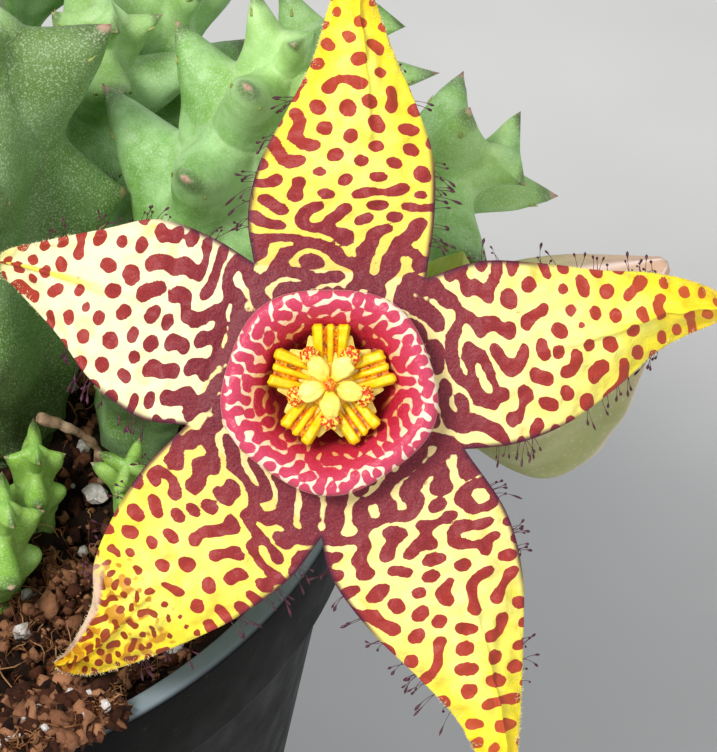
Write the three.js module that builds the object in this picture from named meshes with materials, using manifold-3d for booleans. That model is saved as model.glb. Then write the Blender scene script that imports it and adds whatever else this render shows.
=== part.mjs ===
// A potted orbea: a black nursery pot of gritty soil, a clump of toothed succulent stems,
// one open star flower and two buds. Millimetres, +Z up, origin at the centre of the pot's foot.
import * as THREE from 'three';
import { mergeVertices } from 'three/addons/utils/BufferGeometryUtils.js';
import Module from 'manifold-3d';

const wasm = await Module();
wasm.setup();

// Driving dimensions
const POT_HEIGHT = 100;
const RIM_RADIUS = 62.5;
const FOOT_RADIUS = 45;
const WALL = 1.2;
const LIP_WIDTH = 2.6;
const COLLAR_HEIGHT = 12;
const COLLAR_STEP = 2.4;
const FLOOR = 1.6;
const POT_SIDES = 44;
const DRAIN_HOLES = 6;
const DRAIN_RADIUS = 3.5;
const DRAIN_CIRCLE = 31;
const COLLAR_FOOT = POT_HEIGHT - COLLAR_HEIGHT;
const COLLAR_INSIDE = RIM_RADIUS - WALL - 0.8;
const NECK_RADIUS = RIM_RADIUS - COLLAR_STEP - 0.6;
const LIP_INSIDE = RIM_RADIUS - LIP_WIDTH;

const GAP = 0.35;
const SOIL_LEVEL = 96.3;
const SOIL_CROWN = 2.6;
const ROOT_END = 86;

const FLOWER_CENTRE = new THREE.Vector3(58.5, -35.1, 132.4);
const FLOWER_TILT = 48;
const SINUS_RADIUS = 14.8;
const SINUS_ANGLES = [120.8, 49.2, -23.7, -93.2, -166.2];
const LOBE_SKIN = 1.2;
const EDGE_SKIN = 0.7;

// Small maths helpers
const rad = THREE.MathUtils.degToRad;
const point = (x, y, z) => new THREE.Vector3(x, y, z);
const mix = (a, b, t) => a + (b - a) * t;
const smooth = THREE.MathUtils.smoothstep;

function seeded(seed) {
  let state = seed;
  return () => {
    state = (state * 1664525 + 1013904223) % 4294967296;
    return state / 4294967296;
  };
}

// The value at t of a smooth curve through a list of [t, value] pairs.
function profileAt(pairs, t) {
  let i = 0;
  while (i < pairs.length - 2 && t > pairs[i + 1][0]) i += 1;
  const at = (k) => pairs[THREE.MathUtils.clamp(k, 0, pairs.length - 1)];
  const [t0, t1] = [at(i)[0], at(i + 1)[0]];
  const slope = (k) => {
    const span = at(k + 1)[0] - at(k - 1)[0];
    return span > 0 ? (at(k + 1)[1] - at(k - 1)[1]) / span : 0;
  };
  const h = t1 - t0;
  const x = THREE.MathUtils.clamp((t - t0) / h, 0, 1);
  const [x2, x3] = [x * x, x * x * x];
  return (2 * x3 - 3 * x2 + 1) * at(i)[1] + (x3 - 2 * x2 + x) * h * slope(i)
    + (3 * x2 - 2 * x3) * at(i + 1)[1] + (x3 - x2) * h * slope(i + 1);
}

// Solids and geometry
function toSolid(geometry) {
  const bare = geometry.index ? geometry.toNonIndexed() : geometry.clone();
  bare.deleteAttribute('normal');
  bare.deleteAttribute('uv');
  const merged = mergeVertices(bare, 1e-4);
  const mesh = new wasm.Mesh({
    numProp: 3,
    vertProperties: merged.attributes.position.array,
    triVerts: new Uint32Array(merged.index.array),
  });
  return new wasm.Manifold(mesh);
}

function toGeometry(solid) {
  const mesh = solid.getMesh();
  const geometry = new THREE.BufferGeometry();
  geometry.setAttribute('position', new THREE.BufferAttribute(mesh.vertProperties, 3));
  geometry.setIndex(new THREE.BufferAttribute(mesh.triVerts, 1));
  return geometry;
}

const joined = (geometries) => toGeometry(geometries.map(toSolid).reduce((a, b) => a.add(b)));

function fromTriangles(corners) {
  const numbers = new Float32Array(corners.flatMap((p) => [p.x, p.y, p.z]));
  const geometry = new THREE.BufferGeometry();
  geometry.setAttribute('position', new THREE.BufferAttribute(numbers, 3));
  return geometry;
}

// Two triangles for the quad a, b, c, d, split along a to c.
const quad = (a, b, c, d) => [a, b, c, a, c, d];

// A closed skin over rings of points that turn anticlockwise seen from the far end.
function skinOfRings(rings, start, end) {
  const corners = [];
  const count = rings[0].length;
  for (let i = 0; i < count; i += 1) {
    const j = (i + 1) % count;
    corners.push(start, rings[0][j], rings[0][i]);
    for (let k = 0; k < rings.length - 1; k += 1) {
      corners.push(...quad(rings[k][i], rings[k][j], rings[k + 1][j], rings[k + 1][i]));
    }
    corners.push(rings[rings.length - 1][i], rings[rings.length - 1][j], end);
  }
  return fromTriangles(corners);
}

// A cross-section frame whose first axis stays towards `across`, so that nothing twists.
function frameAt(tangent, across) {
  const side = across.clone().addScaledVector(tangent, -across.dot(tangent)).normalize();
  return [side, tangent.clone().cross(side)];
}

function ringAt(centre, tangent, across, radii) {
  const [side, other] = frameAt(tangent, across);
  return radii.map((radius, i) => {
    const angle = (2 * Math.PI * i) / radii.length;
    return centre.clone()
      .addScaledVector(side, radius * Math.cos(angle))
      .addScaledVector(other, radius * Math.sin(angle));
  });
}

// A round rod along a curve, with its radius given along the way.
function rod(curve, radiusAt, sides, steps, across = point(1, 0, 0)) {
  const rings = [];
  for (let k = 0; k <= steps; k += 1) {
    const s = k / steps;
    const radii = new Array(sides).fill(radiusAt(s));
    rings.push(ringAt(curve.getPoint(s), curve.getTangent(s), across, radii));
  }
  return skinOfRings(rings, curve.getPoint(0), curve.getPoint(1));
}

function turned(profile, sides) {
  const geometry = new THREE.LatheGeometry(profile.map(([r, z]) => new THREE.Vector2(r, z)), sides);
  return geometry.rotateX(Math.PI / 2);
}

// The nursery pot
function potGeometry() {
  const body = toSolid(turned([
    [0, 0], [FOOT_RADIUS - 2, 0], [FOOT_RADIUS, 2],
    [NECK_RADIUS, COLLAR_FOOT - 0.6], [RIM_RADIUS - 0.8, COLLAR_FOOT],
    [RIM_RADIUS, POT_HEIGHT - 0.5], [RIM_RADIUS - 0.4, POT_HEIGHT],
    [LIP_INSIDE + 0.3, POT_HEIGHT], [LIP_INSIDE, POT_HEIGHT - 0.4],
    [LIP_INSIDE + 0.1, POT_HEIGHT - 1.4], [RIM_RADIUS - WALL - 0.1, POT_HEIGHT - 2],
    [COLLAR_INSIDE, COLLAR_FOOT + 1.4], [NECK_RADIUS - WALL, COLLAR_FOOT - 0.6],
    [FOOT_RADIUS - WALL, 2.6], [FOOT_RADIUS - 2.6, FLOOR], [0, FLOOR],
  ], POT_SIDES));
  const drains = [];
  for (let i = 0; i < DRAIN_HOLES; i += 1) {
    const angle = (2 * Math.PI * (i + 0.5)) / DRAIN_HOLES;
    const hole = new THREE.CylinderGeometry(DRAIN_RADIUS, DRAIN_RADIUS, 6, 12).rotateX(Math.PI / 2);
    hole.translate(DRAIN_CIRCLE * Math.cos(angle), DRAIN_CIRCLE * Math.sin(angle), 0.5);
    drains.push(toSolid(hole));
  }
  return toGeometry(drains.reduce((solid, hole) => solid.subtract(hole), body));
}

// The clump of stems: where each one's foot and tip are, how far its middle bows sideways, the
// radius of its body, the length of its teeth, the levels of teeth and the turn of its ridges.
const stem = (name, foot, tip, bow, radius, tooth, levels, turn) => (
  { name, foot, tip, bow, radius, tooth, levels, turn });
const STEMS = [
  stem('stem_front_left', [22.5, -4], [23.4, -5, 155.4], [-0.8, 0], 7.6, 7.1, 5, 2),
  stem('stem_middle', [37, -5], [55.6, -3.5, 151], [0.8, -0.5], 5.8, 8, 9, -29),
  stem('stem_right', [49.5, 10.5], [77, 9, 126.4], [4, 0], 4.8, 8.4, 5, 6),
  stem('stem_back_left', [30, 20], [34, 19, 138], [-1, 0], 5.4, 7.4, 7, 12),
  stem('stem_back', [36.5, 34.5], [41, 36, 132], [0, 1], 4.6, 7.4, 6, 35),
  stem('stem_far_right', [47.5, 25], [62.5, 33, 127], [2, 1.5], 4.4, 6.4, 6, 8),
  stem('stem_centre', [7, 14], [4, 15, 152], [-2, 1], 6, 7.6, 8, 25),
  stem('stem_left', [-9, -2], [-15, -3, 147], [-1, -2], 6.2, 7.8, 7, 50),
  stem('stem_rear', [17, 38], [24, 42, 138], [0, 1], 5, 7.4, 7, 0),
  stem('stem_rear_left', [-13, 31], [-20, 38, 143], [-2, 0], 5.6, 7.6, 7, 40),
  stem('stem_far_left', [-33, 10], [-46, 14, 136], [-3, 1], 5.4, 7.4, 6, 18),
  stem('stem_side', [-30, -17], [-37, -26, 131], [-2, -1], 5.4, 7.2, 6, 66),
  stem('stem_near', [-10, -29], [-11, -41, 128], [0, -3], 5.2, 7, 5, 30),
];
const SHOOTS = [
  stem('shoot_low_left', [26.5, -18], [27, -18.5, 108.5], [0, 0], 3, 5, 3, 8),
  stem('shoot_lower', [23, -29], [24.5, -30, 111], [0, 0], 3.6, 6, 3, 12),
  stem('shoot_middle', [36.8, -16.6], [36.8, -18.8, 106.6], [0, 0], 2.8, 4.6, 3, 70),
];
const AROUND = 12;
const ROOT_SHARE = 0.7;

// How far a tooth stands out at a distance from its tip: a broad tubercle under a sharp point.
function toothShape(distance) {
  const inside = Math.max(0, 1 - distance);
  const broad = Math.max(0, 1 - distance * distance);
  return 0.45 * broad * broad + 0.55 * inside ** 2.8;
}

// Single teeth are longer or shorter than the rest of their stem's by up to this share.
const UNEVEN = 0.22;

function toothGrowth(shape, level, ridge) {
  const nearest = (ridge % 2) + 2 * Math.round((level - (ridge % 2)) / 2);
  return 1 + UNEVEN * Math.sin(1.7 * nearest + 2.9 * (ridge % 4) + 0.17 * shape.turn);
}

function soilHeight(x, y) {
  const crown = SOIL_CROWN * (1 - (x * x + y * y) / (60 * 60));
  const lumps = 0.7 * Math.sin(x * 0.31 + 1.3) * Math.cos(y * 0.27 - 0.4)
    + 0.45 * Math.sin(x * 0.71 - y * 0.53) + 0.3 * Math.cos(x * 1.1 + y * 0.9);
  return SOIL_LEVEL + crown + lumps;
}

// The highest soil close round a stem, where its straight root ends.
function soilRound({ foot, radius }) {
  const [x, y] = foot;
  const heights = [];
  for (let i = 0; i < AROUND; i += 1) {
    const angle = (2 * Math.PI * i) / AROUND;
    heights.push(soilHeight(x + radius * Math.cos(angle), y + radius * Math.sin(angle)));
  }
  return Math.max(...heights) + GAP;
}

function stemPath(shape) {
  const tip = point(...shape.tip);
  const lean = Math.hypot(tip.x - shape.foot[0], tip.y - shape.foot[1]) / (tip.z - SOIL_LEVEL);
  const foot = point(...shape.foot, soilRound(shape) + 0.4 + shape.radius * Math.min(1, lean));
  const middle = foot.clone().lerp(tip, 0.5);
  middle.z += 0.12 * (tip.z - foot.z);
  middle.x = mix(foot.x, middle.x, 0.6) + shape.bow[0];
  middle.y = mix(foot.y, middle.y, 0.6) + shape.bow[1];
  return new THREE.QuadraticBezierCurve3(foot, middle, tip);
}

// Levels of teeth crowd together towards the growing tip, where body and teeth are still small.
const CROWDING = 1.45;
const YOUNG = 8;

function stemRing(shape, path, level) {
  const s = 1 - (1 - level / shape.levels) ** CROWDING;
  const fromTip = (1 - s) * path.getLength();
  const tangent = path.getTangentAt(s);
  const centre = path.getPointAt(s);
  const [side, other] = frameAt(tangent, point(1, 0, 0));
  const body = shape.radius * mix(0.46, 1, smooth(fromTip, 0, 1.4 * YOUNG)) * mix(0.8, 1, smooth(s, 0, 0.2));
  const tooth = shape.tooth * mix(0.35, 1, smooth(fromTip, 0, YOUNG)) * mix(0.7, 1, smooth(s, 0, 0.35));
  const ring = [];
  for (let i = 0; i < AROUND; i += 1) {
    const ridge = Math.round((i * 4) / AROUND);
    const off = Math.abs((i * 4) / AROUND - ridge) * 2;
    const toLevel = Math.abs(((level - (ridge % 2) + 1 + 200) % 2) - 1);
    const length = tooth * toothGrowth(shape, level, ridge);
    const out = level < 0.5 ? 0 : length * toothShape(Math.hypot(off, toLevel));
    const radius = body * (1 + 0.1 * Math.cos(off * Math.PI)) + out;
    const angle = rad(shape.turn) + (2 * Math.PI * i) / AROUND;
    ring.push(centre.clone()
      .addScaledVector(side, radius * Math.cos(angle))
      .addScaledVector(other, radius * Math.sin(angle))
      .addScaledVector(tangent, out * (0.55 + 0.4 * s ** 4)));
  }
  return ring;
}

function stemGeometry(shape) {
  const path = stemPath(shape);
  const root = new Array(AROUND).fill(shape.radius * ROOT_SHARE);
  const across = point(Math.cos(rad(shape.turn)), Math.sin(rad(shape.turn)), 0);
  const rings = [ROOT_END, soilRound(shape)].map((z) => (
    ringAt(point(path.v0.x, path.v0.y, z), point(0, 0, 1), across, root)));
  for (let level = 0; level <= shape.levels; level += 0.5) rings.push(stemRing(shape, path, level));
  const apex = path.getPoint(1).addScaledVector(path.getTangent(1), shape.radius * 0.45);
  return skinOfRings(rings, point(path.v0.x, path.v0.y, ROOT_END), apex);
}

// Flower stalks: the open flower, the large bud and the small bud stand on one cluster.
const FLOWER_BACK = 5.8;
const STALKS = {
  flower: {
    path: [[43, -14.5, ROOT_END], [43, -14.5, 97], [45, -14, 108], [51, -20, 121]],
    radius: 1.5,
  },
  bud_large: {
    path: [[50.5, -10, ROOT_END], [50.5, -10, 97], [54, -11, 104], [62, -18, 111]],
    radius: 1.4,
  },
  bud_small: {
    path: [[54.5, -2.5, ROOT_END], [54.5, -2.5, 97], [57.5, -3.5, 104], [65.5, -5, 109]],
    radius: 1.2,
  },
};
const BUDS = {
  bud_large: {
    foot: [71.2, -25.5, 119.6],
    tip: [92.9, -17.5, 134],
    radius: 10.8,
    sides: 20,
    fullness: [[0, 0.3], [0.05, 0.62], [0.13, 0.88], [0.28, 1], [0.5, 0.9], [0.7, 0.64], [1, 0.08]],
  },
  bud_small: {
    foot: [69.2, -5.5, 115.2],
    tip: [72.4, -7, 126.4],
    radius: 3.4,
    sides: 10,
    fullness: [[0, 0.45], [0.15, 0.8], [0.45, 1], [0.7, 0.7], [1, 0.08]],
  },
};
const BUD_KEEL = 0.1;

function sepals(foot, direction, radius, length) {
  const pieces = [];
  const [side, other] = frameAt(direction, point(1, 0, 0));
  for (let i = 0; i < 5; i += 1) {
    const angle = rad(72 * i + 20);
    const out = side.clone().multiplyScalar(Math.cos(angle)).addScaledVector(other, Math.sin(angle));
    const at = (along, away) => foot.clone().addScaledVector(direction, along).addScaledVector(out, away);
    const curve = new THREE.QuadraticBezierCurve3(
      at(-1.2, 0.2), at(-0.2, radius), at(length * 0.75, radius + length * 0.35));
    pieces.push(rod(curve, (s) => mix(1.1, 0.25, s), 5, 3, direction));
  }
  return pieces;
}

function stalkGeometry(name, end, direction) {
  const points = STALKS[name].path.map((p) => point(...p));
  points.push(end.clone().addScaledVector(direction, -5), end);
  const curve = new THREE.CatmullRomCurve3(points);
  return rod(curve, (s) => STALKS[name].radius * (1 + 0.5 * smooth(s, 0.88, 1)), 7, 12);
}

function budGeometry(name) {
  const bud = BUDS[name];
  const foot = point(...bud.foot);
  const tip = point(...bud.tip);
  const direction = tip.clone().sub(foot).normalize();
  const rings = [];
  for (let k = 0; k <= 9; k += 1) {
    const s = k / 9;
    const radii = [];
    for (let i = 0; i < bud.sides; i += 1) {
      const keel = 1 + BUD_KEEL * Math.cos((5 * 2 * Math.PI * i) / bud.sides);
      radii.push(bud.radius * profileAt(bud.fullness, s) * keel);
    }
    rings.push(ringAt(foot.clone().lerp(tip, s), direction, point(1, 0, 0), radii));
  }
  const body = skinOfRings(rings, foot, tip.clone().addScaledVector(direction, 0.4));
  const stalk = stalkGeometry(name, foot.clone().addScaledVector(direction, 1.5), direction);
  const leaves = sepals(foot, direction, bud.radius * 0.45, bud.radius * 0.55);
  return joined([body, stalk, ...leaves]);
}

// Soil that fills the pot, its top raised in lumps and grains, with a plain hole for each root
const GRAINS = 30;

function soilRoots() {
  const roots = [...STEMS, ...SHOOTS].map(({ foot, radius }) => [...foot, radius * ROOT_SHARE]);
  Object.values(STALKS).forEach((stalk) => {
    roots.push([stalk.path[0][0], stalk.path[0][1], stalk.radius]);
  });
  return roots;
}

function soilBody() {
  const floor = FLOOR + GAP;
  const walls = [
    [FOOT_RADIUS - WALL - GAP - 1.4, floor], [FOOT_RADIUS - WALL - GAP - 0.1, floor + 1.2],
    [NECK_RADIUS - WALL - GAP - 0.1, COLLAR_FOOT - 0.6],
    [COLLAR_INSIDE - GAP - 0.3, COLLAR_FOOT + 1.6], [LIP_INSIDE - GAP, SOIL_LEVEL - 0.9],
  ];
  const circle = (radius, heightAt) => {
    const ring = [];
    for (let i = 0; i < POT_SIDES; i += 1) {
      const angle = (2 * Math.PI * i) / POT_SIDES;
      const [x, y] = [radius * Math.cos(angle), radius * Math.sin(angle)];
      ring.push(point(x, y, heightAt(x, y)));
    }
    return ring;
  };
  const rings = walls.map(([radius, z]) => circle(radius, () => z));
  [58.6, 51, 42, 33, 23, 12].forEach((radius) => rings.push(circle(radius, soilHeight)));
  return skinOfRings(rings, point(0, 0, floor), point(0, 0, soilHeight(0, 0)));
}

function grainSolids(roots) {
  const random = seeded(11);
  const placed = [];
  const grains = [];
  while (grains.length < GRAINS) {
    const radius = 55 * Math.sqrt(random());
    const angle = 2 * Math.PI * random();
    const [x, y] = [radius * Math.cos(angle), radius * Math.sin(angle)];
    const size = mix(1.3, 2.6, random());
    const turn = [random() * 3, random() * 3, random() * 3];
    const clear = [...roots, ...placed].every(([a, b, r]) => Math.hypot(x - a, y - b) > r + size + 2);
    if (!clear) continue;
    const grain = new THREE.IcosahedronGeometry(size, 0).scale(1.15, 0.9, 0.75);
    grain.rotateX(turn[0]).rotateY(turn[1]).rotateZ(turn[2]);
    grains.push(toSolid(grain.translate(x, y, soilHeight(x, y) + 0.25 * size)));
    placed.push([x, y, size]);
  }
  return grains;
}

function soilGeometry() {
  const roots = soilRoots();
  const depth = 40;
  let solid = grainSolids(roots).reduce((soil, grain) => soil.add(grain), toSolid(soilBody()));
  roots.forEach(([x, y, radius]) => {
    const reach = (radius + GAP) / Math.cos(Math.PI / AROUND);
    const hole = new THREE.CylinderGeometry(reach, reach, depth, AROUND).rotateX(Math.PI / 2);
    solid = solid.subtract(toSolid(hole.translate(x, y, ROOT_END - GAP + depth / 2)));
  });
  return toGeometry(solid);
}

// The corolla: five lobes joined round a raised fleshy ring, in the flower's own frame, where
// +Z faces out of the flower. A lobe's left and right edges run from its two sinuses through
// five points each to the tip. At the five points and the tip, height is the middle line's, fold
// how far the edges hang below it and roll how far the right edge is lifted.
const LOBES = [
  {
    name: 'top',
    left: [[-8.2, 17.3], [-7.1, 22.6], [-4.3, 28], [-1.7, 33.2], [-0.1, 38.5]],
    right: [[10.5, 17.3], [10.4, 23.3], [8.7, 28.6], [6.4, 34], [4.6, 39]],
    tip: [2.4, 45.3],
    height: [0.4, 0.7, 0.9, 0.8, 0.3, -0.6],
    fold: [0.5, 1, 1.4, 1.6, 1.2, 0.2],
    roll: [0, 0, 0, -0.2, -0.3, 0],
  },
  {
    name: 'right',
    left: [[15.2, 12.9], [21.2, 12.7], [27.2, 12], [33, 11.7], [38, 10.4]],
    right: [[18.6, -5.4], [23.8, -3.4], [28.9, 0.2], [33.6, 4.2], [38.4, 6.5]],
    tip: [42.2, 7.8],
    height: [0.4, 0.6, 0.5, 0, -0.8, -2],
    fold: [0.5, 1.2, 2, 2.4, 1.6, 0.2],
    roll: [0, -0.4, -1.2, -1.2, -0.4, 0],
  },
  {
    name: 'lower_right',
    left: [[17.8, -12.4], [19.4, -18.6], [19.5, -25.2], [19.3, -31.6], [18.9, -37.2]],
    right: [[0.1, -18.6], [4.2, -24.3], [8.8, -28.8], [12.8, -33.2], [15.4, -38]],
    tip: [17.8, -43.4],
    height: [0.3, 0.4, 0.1, -0.6, -1.6, -3],
    fold: [0.5, 1.1, 1.7, 1.8, 1.2, 0.2],
    roll: [0, 0.3, 0.6, 0.5, 0.3, 0],
  },
  {
    name: 'lower_left',
    left: [[-4, -18.9], [-9.2, -22.8], [-15, -25.7], [-20.6, -28], [-25.2, -29.2]],
    right: [[-18.6, -7.8], [-21.6, -12.4], [-23.8, -17.6], [-24, -21.4], [-26, -25.4]],
    tip: [-28.4, -28.4],
    height: [0.2, -0.2, -1.4, -3.6, -7, -12],
    fold: [0.5, 1, 1.6, 1.6, 0.8, 0.2],
    roll: [0, 0, 0.2, 1.2, 1.8, 0.4],
  },
  {
    name: 'left',
    left: [[-19, -2.8], [-23.8, 0.8], [-27.4, 5.6], [-30.9, 9.4], [-33.2, 11.9]],
    right: [[-11.6, 15.2], [-17, 17.1], [-23, 16.1], [-28.9, 15], [-33.2, 13.9]],
    tip: [-33.6, 12.9],
    height: [0.4, 0.6, 0.3, -0.9, -4.4, -12],
    fold: [0.5, 1, 1.5, 1.8, 1.4, 0.3],
    roll: [0, 0, 0, 0, 0, 0],
  },
];
const RING_PROFILE = [
  [3.2, -3.2], [4.6, -2], [5.6, -0.2], [6.6, 1.6], [7.9, 3.1], [9.3, 4],
  [10.3, 3.9], [10.75, 3.2], [10.3, 1.2], [10.9, 0.3],
];
const RING_CORNERS = { from: 6, depth: 0.028, turn: 54, squash: 0.955 };
const BACK_PROFILE = [[3, -5.2], [6.4, -4.6], [9, -2.4]];
const ACROSS = 8;
const ALONG = 12;
const TIP_HALF = 0.35;

const flat = (angle, radius) => point(radius * Math.cos(rad(angle)), radius * Math.sin(rad(angle)), 0);

function lobeEdges(lobe) {
  const start = LOBES.indexOf(lobe);
  const end = (start + 1) % LOBES.length;
  const edge = (angle, points) => new THREE.CatmullRomCurve3(
    [flat(angle, SINUS_RADIUS), ...[...points, lobe.tip].map(([x, y]) => point(x, y, 0))]);
  return [edge(SINUS_ANGLES[start], lobe.left), edge(SINUS_ANGLES[end], lobe.right)];
}

// A point of a lobe's face: u runs from foot to tip and v from -1 at its left edge to 1.
function facePoint(lobe, [left, right], u, v) {
  const stations = (values) => profileAt([0, ...values].map((value, k) => [k / 6, value]), u);
  const at = left.getPoint(u).lerp(right.getPoint(u), 0.5 + v / 2);
  const side = right.getPoint(0.9).sub(left.getPoint(0.9)).normalize();
  at.addScaledVector(side, v * TIP_HALF * smooth(u, 0.9, 1));
  at.z = stations(lobe.height) - stations(lobe.fold) * Math.abs(v) ** 1.6 + stations(lobe.roll) * v;
  return at;
}

function lobeTriangles(lobe) {
  const edges = lobeEdges(lobe);
  const rows = [];
  for (let k = 0; k <= ALONG; k += 1) {
    const row = [];
    for (let i = 0; i <= ACROSS; i += 1) row.push(facePoint(lobe, edges, k / ALONG, (2 * i) / ACROSS - 1));
    rows.push(row);
  }
  // The under face lies one skin below, square to the upper one.
  const under = rows.map((row, k) => row.map((at, i) => {
    const along = rows[Math.min(k + 1, ALONG)][i].clone().sub(rows[Math.max(k - 1, 0)][i]);
    const side = row[Math.min(i + 1, ACROSS)].clone().sub(row[Math.max(i - 1, 0)]);
    const normal = k === 0 ? point(0, 0, 1) : side.cross(along).normalize();
    const thinning = Math.max(smooth(k / ALONG, 0.3, 1), ((2 * i) / ACROSS - 1) ** 2);
    const skin = mix(LOBE_SKIN, EDGE_SKIN, thinning);
    return at.clone().addScaledVector(normal, -skin);
  }));
  const corners = [];
  for (let k = 0; k < ALONG; k += 1) {
    for (let i = 0; i < ACROSS; i += 1) {
      const [a, b, c, d] = [rows[k][i], rows[k][i + 1], rows[k + 1][i + 1], rows[k + 1][i]];
      const [e, f, g, h] = [under[k][i], under[k][i + 1], under[k + 1][i + 1], under[k + 1][i]];
      corners.push(...quad(a, b, c, d), e, g, f, e, h, g);
    }
    corners.push(...quad(under[k][0], rows[k][0], rows[k + 1][0], under[k + 1][0]));
    corners.push(...quad(rows[k][ACROSS], under[k][ACROSS], under[k + 1][ACROSS], rows[k + 1][ACROSS]));
  }
  for (let i = 0; i < ACROSS; i += 1) {
    corners.push(...quad(rows[ALONG][i], rows[ALONG][i + 1], under[ALONG][i + 1], under[ALONG][i]));
  }
  return { corners, upperFoot: rows[0], lowerFoot: under[0] };
}

// The middle of the flower under one lobe, from the centre out to the lobe's foot.
function middleTriangles(foot, profile, centre, facingOut) {
  const rows = profile.map(([radius, z]) => foot.map((p) => {
    const angle = 5 * (Math.atan2(p.y, p.x) - rad(RING_CORNERS.turn));
    const round = radius > RING_CORNERS.from ? 1 + RING_CORNERS.depth * Math.cos(angle) : 1;
    const scale = (radius * round) / Math.hypot(p.x, p.y);
    return point(p.x * scale, p.y * scale * RING_CORNERS.squash, z);
  }));
  rows.push(foot);
  const corners = [];
  for (let i = 0; i < ACROSS; i += 1) {
    const add = (a, b, c) => corners.push(...(facingOut ? [a, b, c] : [a, c, b]));
    add(centre, rows[0][i + 1], rows[0][i]);
    for (let k = 0; k < rows.length - 1; k += 1) {
      add(rows[k][i], rows[k][i + 1], rows[k + 1][i + 1]);
      add(rows[k][i], rows[k + 1][i + 1], rows[k + 1][i]);
    }
  }
  return corners;
}

function corollaGeometry() {
  const corners = [];
  LOBES.forEach((lobe) => {
    const part = lobeTriangles(lobe);
    corners.push(...part.corners);
    corners.push(...middleTriangles(part.upperFoot, RING_PROFILE, point(0, 0, -3.2), true));
    corners.push(...middleTriangles(part.lowerFoot, BACK_PROFILE, point(0, 0, -5.2), false));
  });
  return fromTriangles(corners);
}

// The corona: five ribbed outer lobes, five plump inner ones over a column, a pointed frill
const CORONA_SHIFT = [0.1, 0.5, 1.3];
const OUTER_LOBE = { from: 1.6, to: 6.1, width: 3.8, ribs: [-1.3, 0, 1.3] };

function outerLobe(angle) {
  const { from, to, width, ribs } = OUTER_LOBE;
  const section = new THREE.Shape();
  section.moveTo(-width / 2, -0.45);
  section.lineTo(width / 2, -0.45);
  section.lineTo(width / 2, 0.35);
  [...ribs].reverse().forEach((rib, i) => {
    const half = i === 1 ? 0.32 : 0.5;
    section.lineTo(rib + half, 0.55);
    section.lineTo(rib - half, 0.55);
    if (i < 2) section.lineTo(rib - half - 0.2, 0.05);
  });
  section.lineTo(-width / 2, 0.35);
  const curve = new THREE.LineCurve3(point(from, 0, 0.5), point(to, 0, 1.7));
  const plate = new THREE.ExtrudeGeometry(section, { depth: 1, bevelEnabled: false });
  plate.rotateX(Math.PI / 2).rotateZ(Math.PI / 2);
  plate.scale(to - from, 1, 1).translate(from, 0, 0);
  const rise = Math.atan2(curve.v2.z - curve.v1.z, to - from);
  return plate.rotateY(-rise).translate(0, 0, 0.4).rotateZ(rad(angle));
}

function innerLobe(angle) {
  const cushion = new THREE.SphereGeometry(1, 8, 6).scale(1.5, 0.95, 0.8);
  cushion.rotateY(rad(12)).translate(1.55, 0, 2.6).rotateZ(rad(angle));
  const horn = new THREE.IcosahedronGeometry(0.85, 0).scale(1.05, 0.85, 1);
  horn.translate(3.2, 0, 1.7).rotateZ(rad(angle));
  return [cushion, horn];
}

function frill(angle) {
  const shape = new THREE.Shape();
  shape.moveTo(0, -1.6);
  shape.lineTo(5.2, -1.25);
  shape.lineTo(4.4, 0);
  shape.lineTo(5.2, 1.25);
  shape.lineTo(0, 1.6);
  const sheet = new THREE.ExtrudeGeometry(shape, { depth: 0.7, bevelEnabled: false });
  return sheet.rotateZ(rad(angle));
}

function coronaGeometry() {
  const column = new THREE.CylinderGeometry(2.3, 1.9, 6.4, 15).rotateX(Math.PI / 2);
  column.translate(0, 0, -0.9);
  const pieces = [column];
  for (let i = 0; i < 5; i += 1) {
    pieces.push(outerLobe(90 + 72 * i), ...innerLobe(54 + 72 * i), frill(54 + 72 * i));
  }
  return joined(pieces);
}

function calyxGeometry() {
  const tilt = rad(FLOWER_TILT);
  const facing = point(0, -Math.sin(tilt), Math.cos(tilt));
  const back = FLOWER_CENTRE.clone().addScaledVector(facing, -FLOWER_BACK);
  const stalk = stalkGeometry('flower', back, facing);
  return joined([stalk, ...sepals(back.clone().addScaledVector(facing, -1), facing, 5.6, 2.4)]);
}

// Colours from the photograph, as a plain finish for each kind of piece
const finish = (color, roughness) => new THREE.MeshStandardMaterial({ color, roughness, metalness: 0 });
const FINISHES = {
  pot: finish(0x23282a, 0.55),
  soil: finish(0x4a2f20, 0.95),
  stem: finish(0x6fa45c, 0.6),
  young: finish(0x9bbf45, 0.55),
  petal: finish(0xe8d44a, 0.6),
  corona: finish(0xf4c21a, 0.45),
  bud: finish(0xb9c08a, 0.55),
};

const orbea = new THREE.Group();

function add(name, geometry, material, parent = orbea) {
  const mesh = new THREE.Mesh(geometry, material);
  mesh.name = name;
  parent.add(mesh);
  return mesh;
}

add('pot', potGeometry(), FINISHES.pot);
add('soil', soilGeometry(), FINISHES.soil);
STEMS.forEach((shape) => add(shape.name, stemGeometry(shape), FINISHES.stem));
SHOOTS.forEach((shape) => add(shape.name, stemGeometry(shape), FINISHES.young));
add('bud_large', budGeometry('bud_large'), FINISHES.bud);
add('bud_small', budGeometry('bud_small'), FINISHES.young);
add('flower_stalk', calyxGeometry(), FINISHES.young);

const flower = new THREE.Group();
flower.position.copy(FLOWER_CENTRE);
flower.rotation.x = rad(FLOWER_TILT);
orbea.add(flower);
add('corolla', corollaGeometry(), FINISHES.petal, flower);
add('corona', coronaGeometry(), FINISHES.corona, flower).position.set(...CORONA_SHIFT);

export default orbea;
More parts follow.
